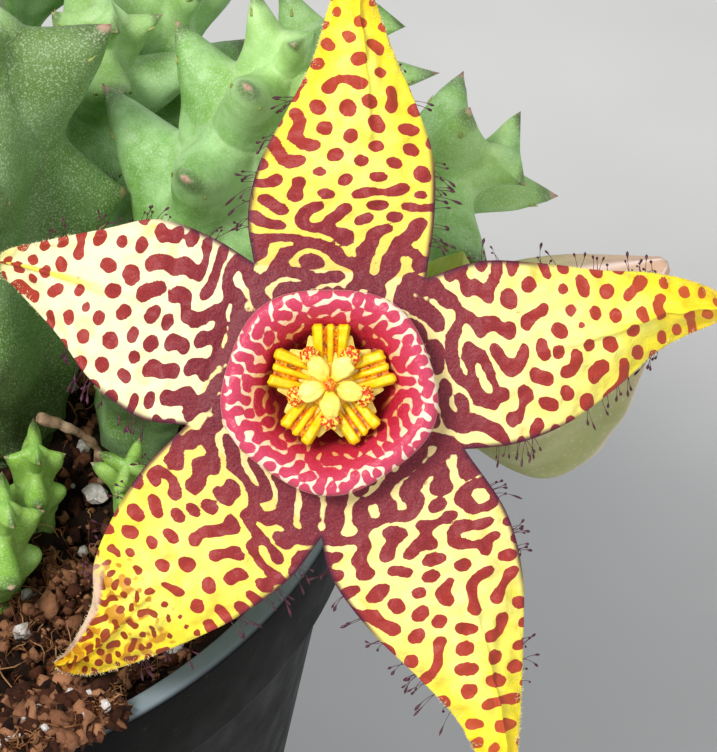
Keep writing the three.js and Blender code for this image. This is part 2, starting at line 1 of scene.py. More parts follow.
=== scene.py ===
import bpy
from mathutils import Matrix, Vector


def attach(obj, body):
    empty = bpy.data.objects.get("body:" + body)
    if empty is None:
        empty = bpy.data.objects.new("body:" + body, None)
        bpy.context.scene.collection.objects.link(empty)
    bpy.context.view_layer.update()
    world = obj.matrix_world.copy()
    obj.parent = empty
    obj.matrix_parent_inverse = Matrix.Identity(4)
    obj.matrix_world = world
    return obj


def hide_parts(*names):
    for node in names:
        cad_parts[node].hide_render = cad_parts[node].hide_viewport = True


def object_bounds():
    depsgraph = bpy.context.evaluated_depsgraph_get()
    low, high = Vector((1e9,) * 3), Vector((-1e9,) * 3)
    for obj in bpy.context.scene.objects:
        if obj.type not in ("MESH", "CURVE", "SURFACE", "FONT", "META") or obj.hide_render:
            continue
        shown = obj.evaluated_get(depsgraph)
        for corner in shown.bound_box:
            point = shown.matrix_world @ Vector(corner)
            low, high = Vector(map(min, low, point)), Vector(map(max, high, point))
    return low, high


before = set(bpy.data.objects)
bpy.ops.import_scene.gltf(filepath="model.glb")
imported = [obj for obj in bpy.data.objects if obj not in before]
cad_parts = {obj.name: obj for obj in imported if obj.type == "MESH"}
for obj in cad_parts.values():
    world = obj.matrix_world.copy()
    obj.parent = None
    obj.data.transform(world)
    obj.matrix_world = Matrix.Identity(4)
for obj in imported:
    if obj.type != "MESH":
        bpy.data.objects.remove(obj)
cad_box = [list(corner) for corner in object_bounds()]

# A potted orbea in bloom. Shapes are worked out in millimetres and made into meshes in metres.
import math

import bmesh
import bpy
import numpy as np
from mathutils import Matrix

MM = 0.001


# Camera at the photograph's place and angle
CAMERA_PLACE = (61.4, -369.2, 435.1)
CAMERA_TILT = 48
CAMERA_LENS = 215.43


def make_camera():
    camera = bpy.data.objects.new("camera", bpy.data.cameras.new("camera"))
    bpy.context.scene.collection.objects.link(camera)
    camera.location = [value * MM for value in CAMERA_PLACE]
    camera.rotation_euler = (math.radians(CAMERA_TILT), 0, 0)
    camera.data.lens = CAMERA_LENS
    camera.data.sensor_width = 36
    camera.data.clip_start = 0.01
    bpy.context.scene.camera = camera


# Numbers, curves and random fields
def smooth(value, low, high):
    share = np.clip((np.asarray(value, float) - low) / (high - low), 0, 1)
    return share * share * (3 - 2 * share)


def mix(a, b, share):
    return a + (b - a) * share


def unit(vectors):
    return vectors / np.maximum(np.linalg.norm(vectors, axis=-1, keepdims=True), 1e-9)


def profile_at(pairs, t):
    """The value at t of a smooth curve through a list of (t, value) pairs."""
    places, values = np.array(pairs, float).T
    before = np.r_[places[0], places[:-1]]
    after = np.r_[places[1:], places[-1]]
    slopes = (np.r_[values[1:], values[-1]] - np.r_[values[0], values[:-1]]) / (after - before)
    t = np.asarray(t, float)
    i = np.clip(np.searchsorted(places, t) - 1, 0, len(places) - 2)
    span = places[i + 1] - places[i]
    x = np.clip((t - places[i]) / span, 0, 1)
    return (
        (2 * x**3 - 3 * x**2 + 1) * values[i] + (x**3 - 2 * x**2 + x) * span * slopes[i]
        + (3 * x**2 - 2 * x**3) * values[i + 1] + (x**3 - x**2) * span * slopes[i + 1]
    )


def catmull(points, t):
    """A centripetal Catmull-Rom curve through points, at each t from 0 to 1."""
    points = np.asarray(points, float)
    points = np.vstack([2 * points[0] - points[1], points, 2 * points[-1] - points[-2]])
    segments = len(points) - 3
    where = np.clip(np.asarray(t, float) * segments, 0, segments - 1e-9)
    i = where.astype(int)
    x = (where - i)[:, None]
    a, b, c, d = points[i], points[i + 1], points[i + 2], points[i + 3]

    def gap(p, q):
        return np.maximum(np.sum((q - p) ** 2, axis=1) ** 0.25, 1e-4)[:, None]

    t0, t1, t2 = gap(a, b), gap(b, c), gap(c, d)
    out = ((b - a) / t0 - (c - a) / (t0 + t1) + (c - b) / t1) * t1
    into = ((c - b) / t1 - (d - b) / (t1 + t2) + (d - c) / t2) * t1
    return b + out * x + (-3 * b + 3 * c - 2 * out - into) * x**2 + (2 * b - 2 * c + out + into) * x**3


def even_along(curve, shares):
    """Points and directions of a finely sampled curve at even shares of its length."""
    steps = np.linalg.norm(np.diff(curve, axis=0), axis=1)
    length = np.r_[0, np.cumsum(steps)]
    at = np.asarray(shares, float) * length[-1]
    points = np.stack([np.interp(at, length, curve[:, k]) for k in range(3)], 1)
    slopes = np.gradient(curve, length, axis=0)
    directions = np.stack([np.interp(at, length, slopes[:, k]) for k in range(3)], 1)
    return points, unit(directions), length[-1]


def ripple(points, size, seed, waves=18):
    """A smooth random field, about -1 to 1, whose bumps are about `size` across."""
    draw = np.random.default_rng(seed)
    ways = unit(draw.normal(size=(waves, 3))) * draw.uniform(0.7, 1.4, (waves, 1)) * math.pi / size
    sines = np.sin(np.asarray(points) @ ways.T + draw.uniform(0, 7, waves))
    return sines.sum(-1) * math.sqrt(2 / waves) / 1.6


def turns(draw, count):
    """Random rotation matrices, as many as count."""
    q = unit(draw.normal(size=(count, 4)))
    w, x, y, z = q.T
    rows = [
        1 - 2 * (y * y + z * z), 2 * (x * y - z * w), 2 * (x * z + y * w),
        2 * (x * y + z * w), 1 - 2 * (x * x + z * z), 2 * (y * z - x * w),
        2 * (x * z - y * w), 2 * (y * z + x * w), 1 - 2 * (x * x + y * y),
    ]
    return np.stack(rows, 1).reshape(-1, 3, 3)


# Meshes
def grid_quads(rows, columns, wrap=False):
    """Quads over points laid out row by row; wrap joins the last column to the first."""
    row = np.arange(rows - 1)[:, None] * columns
    column = np.arange(columns if wrap else columns - 1)[None, :]
    after = (column + 1) % columns
    corners = [row + column, row + after, row + columns + after, row + columns + column]
    return np.stack(corners, -1).reshape(-1, 4)


class Shape:
    """Points in millimetres, their faces and named values, made one mesh inside the solids' box."""

    def __init__(self):
        self.points, self.faces, self.values, self.kinds, self.count = [], [], {}, [], 0

    def add(self, points, faces, kind=0, **values):
        points = np.asarray(points, float).reshape(-1, 3)
        for block in faces if isinstance(faces, list) else [faces]:
            self.faces.append(np.asarray(block) + self.count)
            self.kinds.append(np.full(len(block), kind))
        for name, value in values.items():
            flat = np.broadcast_to(np.asarray(value, float).ravel() if np.ndim(value) else value, len(points))
            self.values.setdefault(name, []).append(flat)
        self.points.append(points)
        self.count += len(points)

    def weld(self, reach=0.002):
        """Joins points that lie together, so that light runs smoothly over the seams."""
        points = np.concatenate(self.points)
        keys = np.round(points / reach).astype(np.int64)
        _, first, same = np.unique(keys, axis=0, return_index=True, return_inverse=True)
        same = same.ravel()
        self.values = {name: [np.concatenate(value)[first]] for name, value in self.values.items()}
        self.points = [points[first]]
        kept = [same[block] for block in self.faces]
        whole = [np.array([len(set(face)) == len(face) for face in block.tolist()]) for block in kept]
        self.faces = [block[good] for block, good in zip(kept, whole)]
        self.kinds = [kind[good] for kind, good in zip(self.kinds, whole)]

    def mesh(self, name, soft=True):
        mesh = bpy.data.meshes.new(name)
        box = np.array(cad_box) / MM
        points = np.clip(np.concatenate(self.points), *box)
        sizes = np.concatenate([np.full(len(block), block.shape[1]) for block in self.faces])
        loops = np.concatenate([block.ravel() for block in self.faces])
        mesh.vertices.add(len(points))
        mesh.vertices.foreach_set("co", (points * MM).ravel())
        mesh.loops.add(len(loops))
        mesh.loops.foreach_set("vertex_index", loops)
        mesh.polygons.add(len(sizes))
        mesh.polygons.foreach_set("loop_start", np.r_[0, np.cumsum(sizes)[:-1]])
        mesh.polygons.foreach_set("material_index", np.concatenate(self.kinds))
        mesh.polygons.foreach_set("use_smooth", np.full(len(sizes), soft))
        for key, value in self.values.items():
            mesh.attributes.new(key, "FLOAT", "POINT").data.foreach_set("value", np.concatenate(value))
        mesh.update(calc_edges=True)
        mesh.validate()
        return mesh


def piece(name, shape, materials, nodes=(), soft=True):
    """Makes a shape into a piece that rides on the pot and may stand for some of the nodes."""
    made = bpy.data.objects.new(name, shape.mesh(name, soft))
    bpy.context.scene.collection.objects.link(made)
    for material in materials:
        made.data.materials.append(material)
    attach(made, "root")
    if nodes:
        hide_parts(*nodes)
    return made


def strands(shape, paths, radii, sides, kind=0, across=(1.0, 0.0, 0.0), **values):
    """Round rods along many paths at once: paths are (rod, step, xyz) and radii (rod, step)."""
    paths = np.asarray(paths, float)
    rods, steps = paths.shape[:2]
    radii = np.broadcast_to(radii, (rods, steps))
    along = unit(np.gradient(paths, axis=1))
    hint = np.broadcast_to(np.asarray(across, float), along.shape)
    hint = np.where(np.abs((along * hint).sum(-1, keepdims=True)) > 0.97, [0.0, 0.3, 1.0], hint)
    side = unit(hint - along * (along * hint).sum(-1, keepdims=True))
    other = np.cross(along, side)
    angle = 2 * math.pi * np.arange(sides) / sides
    ring = side[:, :, None] * np.cos(angle)[:, None] + other[:, :, None] * np.sin(angle)[:, None]
    rings = paths[:, :, None] + ring * radii[:, :, None, None]
    points = np.concatenate([rings.reshape(rods, -1, 3), paths[:, :1], paths[:, -1:]], 1)
    quads = grid_quads(steps, sides, wrap=True)
    i = np.arange(sides)
    j = (i + 1) % sides
    start, end, last = steps * sides, steps * sides + 1, (steps - 1) * sides
    caps = np.vstack([
        np.stack([np.full(sides, start), j, i], 1),
        np.stack([last + i, last + j, np.full(sides, end)], 1),
    ])
    offset = (np.arange(rods) * points.shape[1])[:, None, None]
    blocks = [(quads[None] + offset).reshape(-1, 4), (caps[None] + offset).reshape(-1, 3)]
    spread = {}
    for name, value in values.items():
        grid = np.broadcast_to(np.asarray(value, float), (rods, steps))
        ring_values = np.repeat(grid, sides, axis=1)
        spread[name] = np.concatenate([ring_values, grid[:, :1], grid[:, -1:]], 1)
    shape.add(points, blocks, kind, **spread)


def ball(detail):
    """Points and triangles of a round ball of radius 1."""
    form = bmesh.new()
    bmesh.ops.create_icosphere(form, subdivisions=detail, radius=1)
    points = np.array([v.co[:] for v in form.verts])
    faces = np.array([[v.index for v in face.verts] for face in form.faces])
    form.free()
    return points, faces


# Materials
def tint(red, green, blue):
    """A colour given as it looks on a screen, 0 to 255, as light."""
    parts = np.array([red, green, blue]) / 255
    light = np.where(parts <= 0.04045, parts / 12.92, ((parts + 0.055) / 1.055) ** 2.4)
    return (*light.tolist(), 1.0)


class Paint:
    """One procedural material, whose nodes are added by short calls."""

    def __init__(self, name, **settings):
        self.material = bpy.data.materials.new(name)
        self.material.use_nodes = True
        self.tree = self.material.node_tree
        self.surface = self.tree.nodes["Principled BSDF"]
        self.place = self.tree.nodes.new("ShaderNodeTexCoord").outputs["Object"]
        for socket, value in settings.items():
            self.surface.inputs[socket.replace("_", " ")].default_value = value

    def put(self, node, socket, value):
        if isinstance(value, bpy.types.NodeSocket):
            self.tree.links.new(value, node.inputs[socket])
        else:
            node.inputs[socket].default_value = value

    def add(self, kind, sockets, output=0, **settings):
        node = self.tree.nodes.new("ShaderNode" + kind)
        for name, value in settings.items():
            setattr(node, name, value)
        for socket, value in sockets.items():
            self.put(node, socket, value)
        return node.outputs[output]

    def noise(self, size, detail=3.0, roughness=0.55, stretch=None):
        place = self.place
        if stretch:
            place = self.add("Mapping", {"Vector": place, "Scale": stretch})
        return self.add(
            "TexNoise", {"Vector": place, "Scale": 1 / (size * MM), "Detail": detail, "Roughness": roughness})

    def cells(self, size):
        return self.add("TexVoronoi", {"Vector": self.place, "Scale": 1 / (size * MM)})

    def value(self, name):
        return self.add("Attribute", {}, "Fac", attribute_name=name)

    def between(self, value, low, high, soft=False):
        sockets = {"Value": value, "From Min": low, "From Max": high}
        return self.add("MapRange", sockets, interpolation_type="SMOOTHSTEP" if soft else "LINEAR")

    def ramp(self, factor, stops):
        node = self.tree.nodes.new("ShaderNodeValToRGB")
        self.put(node, "Fac", factor)
        marks = node.color_ramp.elements
        while len(marks) < len(stops):
            marks.new(0.5)
        for mark, (place, colour) in zip(marks, stops):
            mark.position = place
            mark.color = colour
        return node.outputs["Color"]

    def blend(self, factor, first, second):
        return self.add("Mix", {0: factor, 6: first, 7: second}, 2, data_type="RGBA")

    def maths(self, operation, first, second):
        return self.add("Math", {0: first, 1: second}, operation=operation)

    def over(self, base, mask, share, colour):
        """Lays a colour over the base by a share of the mask."""
        return self.blend(self.maths("MULTIPLY", mask, share), base, colour)

    def colour(self, value):
        self.put(self.surface, "Base Color", value)

    def roughness(self, value):
        self.put(self.surface, "Roughness", value)

    def bump(self, height, depth, strength=1.0):
        under = self.surface.inputs["Normal"].links
        sockets = {"Height": height, "Distance": depth * MM, "Strength": strength}
        if under:
            sockets["Normal"] = under[0].from_socket
        self.put(self.surface, "Normal", self.add("Bump", sockets))


def pot_material():
    paint = Paint("pot_plastic", Roughness=0.5, Specular_IOR_Level=0.05)
    dust = paint.between(paint.noise(0.9, 5, 0.7), 0.56, 0.74)
    haze = paint.between(paint.noise(14, 3), 0.35, 0.75)
    grains = paint.between(paint.cells(2.6), 0.16, 0.1)
    plastic = paint.blend(haze, tint(4, 5, 4), tint(10, 11, 10))
    # Painted highlight: the lip's flat top is painted light grey where light falls on the black plastic.
    plastic = paint.blend(paint.value("rim"), plastic, tint(130, 142, 148))
    dusty = paint.over(plastic, dust, 0.05, tint(90, 86, 80))
    paint.colour(paint.over(dusty, grains, 0.06, tint(120, 112, 98)))
    paint.roughness(paint.between(paint.noise(5, 4), -0.5, 1.8))
    paint.bump(paint.noise(0.55, 3, 0.6), 0.05, 0.5)
    return paint.material


def soil_material(name, dark, middle, pale):
    paint = Paint(name, Roughness=0.92, Specular_IOR_Level=0.2)
    tone = paint.maths("ADD", paint.value("tone"), paint.between(paint.noise(1.1, 5, 0.7), -0.35, 1.35))
    tone = paint.maths("SUBTRACT", tone, 0.5)
    paint.colour(paint.ramp(tone, [(0.0, dark), (0.5, middle), (1.0, pale)]))
    paint.bump(paint.noise(0.45, 5, 0.75), 0.35, 0.9)
    return paint.material


def perlite_material():
    paint = Paint("perlite", Roughness=0.5, Specular_IOR_Level=0.6, Subsurface_Weight=0.25,
                  Subsurface_Radius=(0.5, 0.5, 0.5), Subsurface_Scale=0.001)
    shade = paint.between(paint.noise(1.4, 4, 0.65), 0.3, 0.7)
    paint.colour(paint.blend(shade, tint(150, 140, 132), tint(238, 232, 228)))
    paint.bump(paint.cells(0.5), 0.18, 0.7)
    return paint.material


def stem_material(name, bloom, clean, pale, glow):
    """Green skin under a whitish bloom: darker and olive towards the teeth, with dry pale tips."""
    paint = Paint(name, Specular_IOR_Level=0.5, Subsurface_Weight=0.08,
                  Subsurface_Radius=(0.6, 1.0, 0.4), Subsurface_Scale=0.002)
    cloud = paint.between(paint.noise(6.5, 5, 0.62), 0.36, 0.66, soft=True)
    skin = paint.blend(cloud, bloom, clean)
    skin = paint.over(skin, paint.value("crease"), 0.3, pale)
    skin = paint.over(skin, paint.value("new"), 0.5, glow)
    skin = paint.over(skin, paint.value("age"), 0.66, tint(64, 88, 26))
    spine = paint.between(paint.value("tip"), 0.15, 0.75, soft=True)
    skin = paint.over(skin, spine, 0.72, tint(82, 100, 52))
    mottled = paint.between(paint.noise(1.5, 5, 0.7), 0.35, 0.7)
    skin = paint.over(skin, mottled, 0.25, tint(92, 138, 60))
    dots = paint.between(paint.noise(0.2, 2, 0.5), 0.5, 0.7)
    skin = paint.over(skin, dots, 0.5, tint(206, 226, 190))
    scars = paint.between(paint.noise(3.2, 6, 0.8, stretch=(1, 1, 0.4)), 0.715, 0.74)
    skin = paint.over(skin, scars, 0.55, tint(214, 214, 204))
    skin = paint.blend(paint.between(paint.value("tip"), 0.84, 0.93), skin, tint(192, 156, 134))
    skin = paint.blend(paint.between(paint.value("tip"), 0.95, 1.0), skin, tint(150, 100, 82))
    paint.colour(skin)
    paint.roughness(paint.between(paint.noise(1.2, 3), -0.5, 1.4))
    paint.bump(paint.noise(0.22, 2, 0.5), 0.03, 0.5)
    paint.bump(paint.noise(1.6, 3, 0.6), 0.1, 0.5)
    return paint.material


def petal_material():
    """Yellow lobes with maroon marks, and the fleshy ring with its thin cream lines."""
    paint = Paint("petal_face", Roughness=0.5, Specular_IOR_Level=0.3, Sheen_Weight=0.03,
                  Subsurface_Weight=0.1, Subsurface_Radius=(1.0, 0.6, 0.2), Subsurface_Scale=0.0012)
    reach = paint.value("reach")
    cloud = paint.noise(2.6, 4, 0.6)
    ground = paint.ramp(reach, [
        (0.0, tint(234, 198, 88)), (0.14, tint(246, 224, 70)), (0.4, tint(249, 232, 44)),
        (0.72, tint(250, 228, 40)), (0.9, tint(248, 208, 24)), (1.0, tint(244, 182, 22)),
    ])
    patch = paint.between(cloud, 0.3, 0.62)
    ground = paint.blend(paint.maths("MULTIPLY", paint.value("pale"), patch), ground, tint(255, 247, 118))
    ground = paint.blend(paint.value("cream"), ground, tint(255, 248, 194))
    # Painted shade: a greenish-yellow tint in the hollows between the puckers, stronger towards the lobes'
    # edges.
    green = paint.maths("MULTIPLY", paint.between(cloud, 0.4, 0.7), paint.value("hollow_shade"))
    ground = paint.blend(green, ground, tint(206, 196, 40))
    ground = paint.blend(paint.value("rib"), ground, tint(255, 232, 40))
    spot = paint.ramp(reach, [
        (0.0, tint(98, 22, 44)), (0.16, tint(124, 30, 42)), (0.34, tint(152, 40, 36)),
        (0.6, tint(172, 58, 30)), (0.8, tint(192, 84, 26)), (1.0, tint(210, 116, 22)),
    ])
    grain = paint.between(paint.noise(0.16, 2, 0.6), 0.35, 0.72)
    spot = paint.over(spot, grain, 0.35, tint(206, 84, 76))
    rust = paint.between(paint.value("mottle"), -0.2, 0.5)
    ground = paint.over(ground, rust, 0.8, tint(196, 116, 18))
    spot = paint.blend(paint.value("warm"), spot, tint(150, 60, 20))
    face = paint.blend(paint.between(paint.value("mark"), -0.07, 0.07), ground, spot)
    face = paint.blend(paint.value("rim"), face, tint(82, 20, 44))
    face = paint.blend(paint.value("curl"), face, tint(226, 192, 170))
    across = paint.value("ring")
    # The ring's flesh is darkest deep in the tube, maroon and pink towards the crest, and dark purple on the
    # outer wall. The lighter pink from about 0.6 to 0.8, just inside the crest, is partly the flesh's own
    # colour and partly painted highlight.
    flesh = paint.ramp(across, [
        (0.0, tint(90, 2, 4)), (0.32, tint(150, 8, 10)), (0.47, tint(182, 18, 34)), (0.6, tint(196, 38, 66)),
        (0.74, tint(204, 66, 98)), (0.86, tint(160, 48, 78)), (0.93, tint(92, 26, 50)),
        (1.0, tint(100, 26, 56)),
    ])
    flesh = paint.over(flesh, grain, 0.3, tint(226, 96, 128))
    lines = paint.ramp(across, [
        (0.0, tint(120, 14, 4)), (0.3, tint(176, 66, 24)), (0.4, tint(226, 134, 66)),
        (0.52, tint(246, 190, 122)), (0.7, tint(255, 232, 204)),
    ])
    ring = paint.blend(paint.between(paint.value("mark"), -0.07, 0.07), lines, flesh)
    # Painted highlight: a thin near-white line along the ring's crest.
    ring = paint.over(ring, paint.value("crest_highlight"), 0.8, tint(255, 226, 226))
    on_ring = paint.between(across, 0.985, 0.96)
    paint.colour(paint.blend(on_ring, face, ring))
    paint.roughness(paint.maths("SUBTRACT", 0.5, paint.maths("MULTIPLY", on_ring, 0.14)))
    paint.bump(paint.noise(0.14, 2, 0.6), 0.035, 0.55)
    paint.bump(paint.noise(1.1, 3, 0.6), 0.36, 0.7)
    return paint.material


def plain_material(name, colours, size, bumps, **settings):
    """A soft cloudy finish between a few colours, with fine bumps of (size, depth)."""
    paint = Paint(name, **settings)
    stops = [(k / (len(colours) - 1), colour) for k, colour in enumerate(colours)]
    paint.colour(paint.ramp(paint.between(paint.noise(size, 4, 0.6), 0.28, 0.74), stops))
    for grain, depth in bumps:
        paint.bump(paint.noise(grain, 3, 0.6), depth, 0.7)
    return paint.material


def bud_material():
    paint = Paint("bud_skin", Roughness=0.5, Specular_IOR_Level=0.35, Subsurface_Weight=0.15,
                  Subsurface_Radius=(1.0, 0.9, 0.5), Subsurface_Scale=0.002)
    cloud = paint.between(paint.noise(6, 4, 0.6), 0.3, 0.72)
    skin = paint.blend(cloud, tint(146, 150, 88), tint(174, 176, 116))
    skin = paint.blend(paint.value("blush"), skin, tint(224, 178, 158))
    skin = paint.blend(paint.value("keel"), skin, tint(244, 218, 208))
    dots = paint.between(paint.noise(0.5, 3, 0.6), 0.58, 0.7)
    paint.colour(paint.over(skin, dots, 0.3, tint(236, 232, 200)))
    paint.bump(paint.noise(0.5, 3, 0.6), 0.05, 0.6)
    return paint.material


def corona_material():
    """Bright yellow crown, paler on the plump inner lobes, with orange and red in its grooves."""
    paint = Paint("crown", Roughness=0.36, Specular_IOR_Level=0.45, Subsurface_Weight=0.15,
                  Subsurface_Radius=(1.0, 0.6, 0.15), Subsurface_Scale=0.0008)
    yellow = paint.blend(paint.between(paint.noise(0.8, 3), 0.35, 0.7), tint(254, 204, 4), tint(255, 230, 14))
    skin = paint.blend(paint.value("cream"), yellow, tint(255, 246, 138))
    streak = paint.between(paint.noise(0.5, 4, 0.7), 0.4, 0.6)
    groove = paint.maths("MULTIPLY", paint.value("groove"), paint.maths("ADD", streak, 0.3))
    skin = paint.blend(groove, skin, tint(222, 104, 4))
    dark = paint.between(paint.noise(0.45, 3, 0.6), 0.52, 0.62)
    skin = paint.blend(paint.maths("MULTIPLY", dark, paint.value("groove")), skin, tint(128, 60, 34))
    freckle = paint.between(paint.noise(0.34, 2, 0.6), 0.44, 0.52)
    skin = paint.blend(paint.maths("MULTIPLY", freckle, paint.value("freckle")), skin, tint(216, 56, 16))
    paint.colour(skin)
    paint.bump(paint.noise(0.3, 3, 0.6), 0.06, 0.6)
    return paint.material


# The pot: one turned skin with a finely grained collar, and drain holes in its floor
POT_HEIGHT = 100
RIM_RADIUS = 62.5
FOOT_RADIUS = 45
WALL = 1.2
LIP_WIDTH = 2.6
COLLAR_FOOT = 88
NECK_RADIUS = RIM_RADIUS - 3
COLLAR_INSIDE = RIM_RADIUS - WALL - 0.8
LIP_INSIDE = RIM_RADIUS - LIP_WIDTH
FLOOR = 1.6
DRAIN_HOLES, DRAIN_RADIUS, DRAIN_CIRCLE = 6, 3.5, 31
POT_SIDES = 220


def eased(corners, ease, steps=3):
    """An outline whose inner corners are rounded off by about `ease`."""
    out = [corners[0]]
    for before, corner, after in zip(corners, corners[1:], corners[2:]):
        before, corner, after = (np.array(p, float) for p in (before, corner, after))
        reach = min(ease, 0.4 * np.linalg.norm(before - corner), 0.4 * np.linalg.norm(after - corner))
        start = corner + unit(before - corner) * reach
        end = corner + unit(after - corner) * reach
        for t in np.linspace(0, 1, steps):
            out.append(tuple((1 - t) ** 2 * start + 2 * t * (1 - t) * corner + t * t * end))
    out.append(corners[-1])
    return np.array(out, float)


def make_pot(material):
    outside = [
        (0.001, 0), (FOOT_RADIUS - 2, 0), (FOOT_RADIUS, 2), (NECK_RADIUS, COLLAR_FOOT - 0.6),
        (RIM_RADIUS - 0.8, COLLAR_FOOT), (RIM_RADIUS, POT_HEIGHT - 0.5), (RIM_RADIUS - 0.4, POT_HEIGHT),
        (LIP_INSIDE + 0.3, POT_HEIGHT), (LIP_INSIDE, POT_HEIGHT - 0.4), (LIP_INSIDE + 0.1, POT_HEIGHT - 1.4),
        (RIM_RADIUS - WALL - 0.1, POT_HEIGHT - 2), (COLLAR_INSIDE, COLLAR_FOOT + 1.4),
        (NECK_RADIUS - WALL, COLLAR_FOOT - 0.6), (FOOT_RADIUS - WALL, 2.6), (FOOT_RADIUS - 2.6, FLOOR),
        (0.001, FLOOR),
    ]
    line = eased(outside, 0.7)
    angle = 2 * math.pi * np.arange(POT_SIDES) / POT_SIDES
    radius = line[:, 0][:, None] * np.ones(POT_SIDES)
    points = np.stack([radius * np.cos(angle), radius * np.sin(angle), line[:, 1][:, None] + 0 * radius], -1)
    # The lip's flat top, which the pot's material paints light grey as a painted highlight.
    rim = smooth(line[:, 1], POT_HEIGHT - 0.5, POT_HEIGHT - 0.05)[:, None] + 0 * radius
    shape = Shape()
    shape.add(points, grid_quads(len(line), POT_SIDES, wrap=True), rim=rim)
    pot = piece("pot_shell", shape, [material], ["pot"])
    drills = []
    for k in range(DRAIN_HOLES):
        turn = 2 * math.pi * (k + 0.5) / DRAIN_HOLES
        centre = np.array([DRAIN_CIRCLE * math.cos(turn), DRAIN_CIRCLE * math.sin(turn)])
        path = [[[*centre, -3], [*centre, 1], [*centre, 5]]]
        drill = Shape()
        strands(drill, path, DRAIN_RADIUS, 28)
        drills.append(bpy.data.objects.new("drill", drill.mesh("drill")))
        bpy.context.scene.collection.objects.link(drills[-1])
        cut = pot.modifiers.new("drain", "BOOLEAN")
        cut.object = drills[-1]
        cut.operation = "DIFFERENCE"
        cut.solver = "EXACT"
    apply_modifiers(pot)
    for drill in drills:
        bpy.data.objects.remove(drill)


def apply_modifiers(made):
    ready = bpy.context.evaluated_depsgraph_get()
    mesh = bpy.data.meshes.new_from_object(made.evaluated_get(ready))
    made.modifiers.clear()
    made.data = mesh


# The soil: a lumpy top with crumbs, bark chips, fibres and pale perlite grains
GAP = 0.35
SOIL_LEVEL = 96.3
SOIL_CROWN = 2.6
ROOT_END = 86
SOIL_RADIUS = LIP_INSIDE - GAP
FEET_CLEAR = 0.9
# Soil spilled across the lip, by azimuth in degrees, and a mound beside the low shoots
SPILL_AZIMUTH, SPILL_SPREAD = -62, 9.5
MOUND_PLACE = np.array([32.0, -31.0])
MOUND_SPREAD = 4.0
MOUND_HEIGHT = 4.0
# How far the grains and crumbs are dented, and how far each is squashed or stretched
ROUGH_CRUMB, SMOOTH_GRAIN, SMOOTH_CHIP = 0.42, 0.16, 0.12
CRUMB_STRETCH = (0.3, 1.3)


def soil_height(x, y):
    crown = SOIL_CROWN * (1 - (x * x + y * y) / (60 * 60))
    lumps = 0.7 * np.sin(x * 0.31 + 1.3) * np.cos(y * 0.27 - 0.4)
    return SOIL_LEVEL + crown + lumps + 0.45 * np.sin(x * 0.71 - y * 0.53) + 0.3 * np.cos(x * 1.1 + y * 0.9)


def soil_roughness(x, y):
    spots = np.stack([x, y, 0 * x], -1)
    return 0.55 * ripple(spots, 2.6, 21) + 0.4 * ripple(spots, 1.3, 22) + 0.2 * ripple(spots, 0.7, 23)


def make_soil(material):
    around, rings = 280, 84
    angle = 2 * math.pi * np.arange(around) / around
    radius = SOIL_RADIUS * np.linspace(1, 0.004, rings) ** 0.85
    x, y = radius[:, None] * np.cos(angle), radius[:, None] * np.sin(angle)
    top = np.stack([x, y, soil_height(x, y) - 0.4 + soil_roughness(x, y)], -1)
    wall = [
        (0.3, FLOOR + GAP), (FOOT_RADIUS - WALL - GAP - 1.4, FLOOR + GAP),
        (FOOT_RADIUS - WALL - GAP - 0.1, 3.2),
        (NECK_RADIUS - WALL - GAP - 0.1, COLLAR_FOOT - 0.6), (COLLAR_INSIDE - GAP - 0.3, COLLAR_FOOT + 1.6),
        (SOIL_RADIUS, SOIL_LEVEL - 1.6),
    ]
    below = np.stack([np.stack([r * np.cos(angle), r * np.sin(angle), z + 0 * angle], -1) for r, z in wall])
    points = np.concatenate([below, top])
    shape = Shape()
    shape.add(points, grid_quads(len(points), around, wrap=True), tone=0.3)
    piece("soil_bed", shape, [material], ["soil"])


def scattered(draw, count):
    """Random places on the soil, off the stems' feet."""
    places = []
    while len(places) < count:
        radius, angle = (SOIL_RADIUS - 1) * math.sqrt(draw.random()), 2 * math.pi * draw.random()
        x, y = radius * math.cos(angle), radius * math.sin(angle)
        if all(math.hypot(x - stem[1][0], y - stem[1][1]) > FEET_CLEAR * stem[4] for stem in STEMS + SHOOTS):
            places.append((x, y))
    return np.array(places)


def lumps(shape, draw, places, heights, sizes, stretch, detail, roughness, tones):
    """Irregular grains: balls with random dents, stretched, turned and set down at places."""
    points, faces = ball(detail)
    kinds = [unit(points) * (1 + roughness * ripple(points * 3, 1.5, 50 + k) + 0.5 * roughness * ripple(
        points * 3, 0.7, 70 + k))[:, None] for k in range(10)]
    count = len(places)
    scale = sizes[:, None] * mix(stretch[0], stretch[1], draw.random((count, 3)))
    forms = np.stack([kinds[k] for k in draw.integers(0, len(kinds), count)]) * scale[:, None]
    forms = np.einsum("nij,nkj->nki", turns(draw, count), forms)
    forms += np.concatenate([places, heights[:, None]], 1)[:, None]
    offset = (np.arange(count) * len(points))[:, None, None]
    shape.add(forms, (faces[None] + offset).reshape(-1, 3), tone=np.repeat(tones, len(points)))


def heap_places(draw, count, inside, outside, spread=SPILL_SPREAD):
    """Places across the rim, where soil has spilled onto the lip."""
    angle = np.radians(SPILL_AZIMUTH + spread * draw.uniform(-1, 1, count))
    radius = draw.uniform(inside, outside, count)
    return np.stack([radius * np.cos(angle), radius * np.sin(angle)], 1)




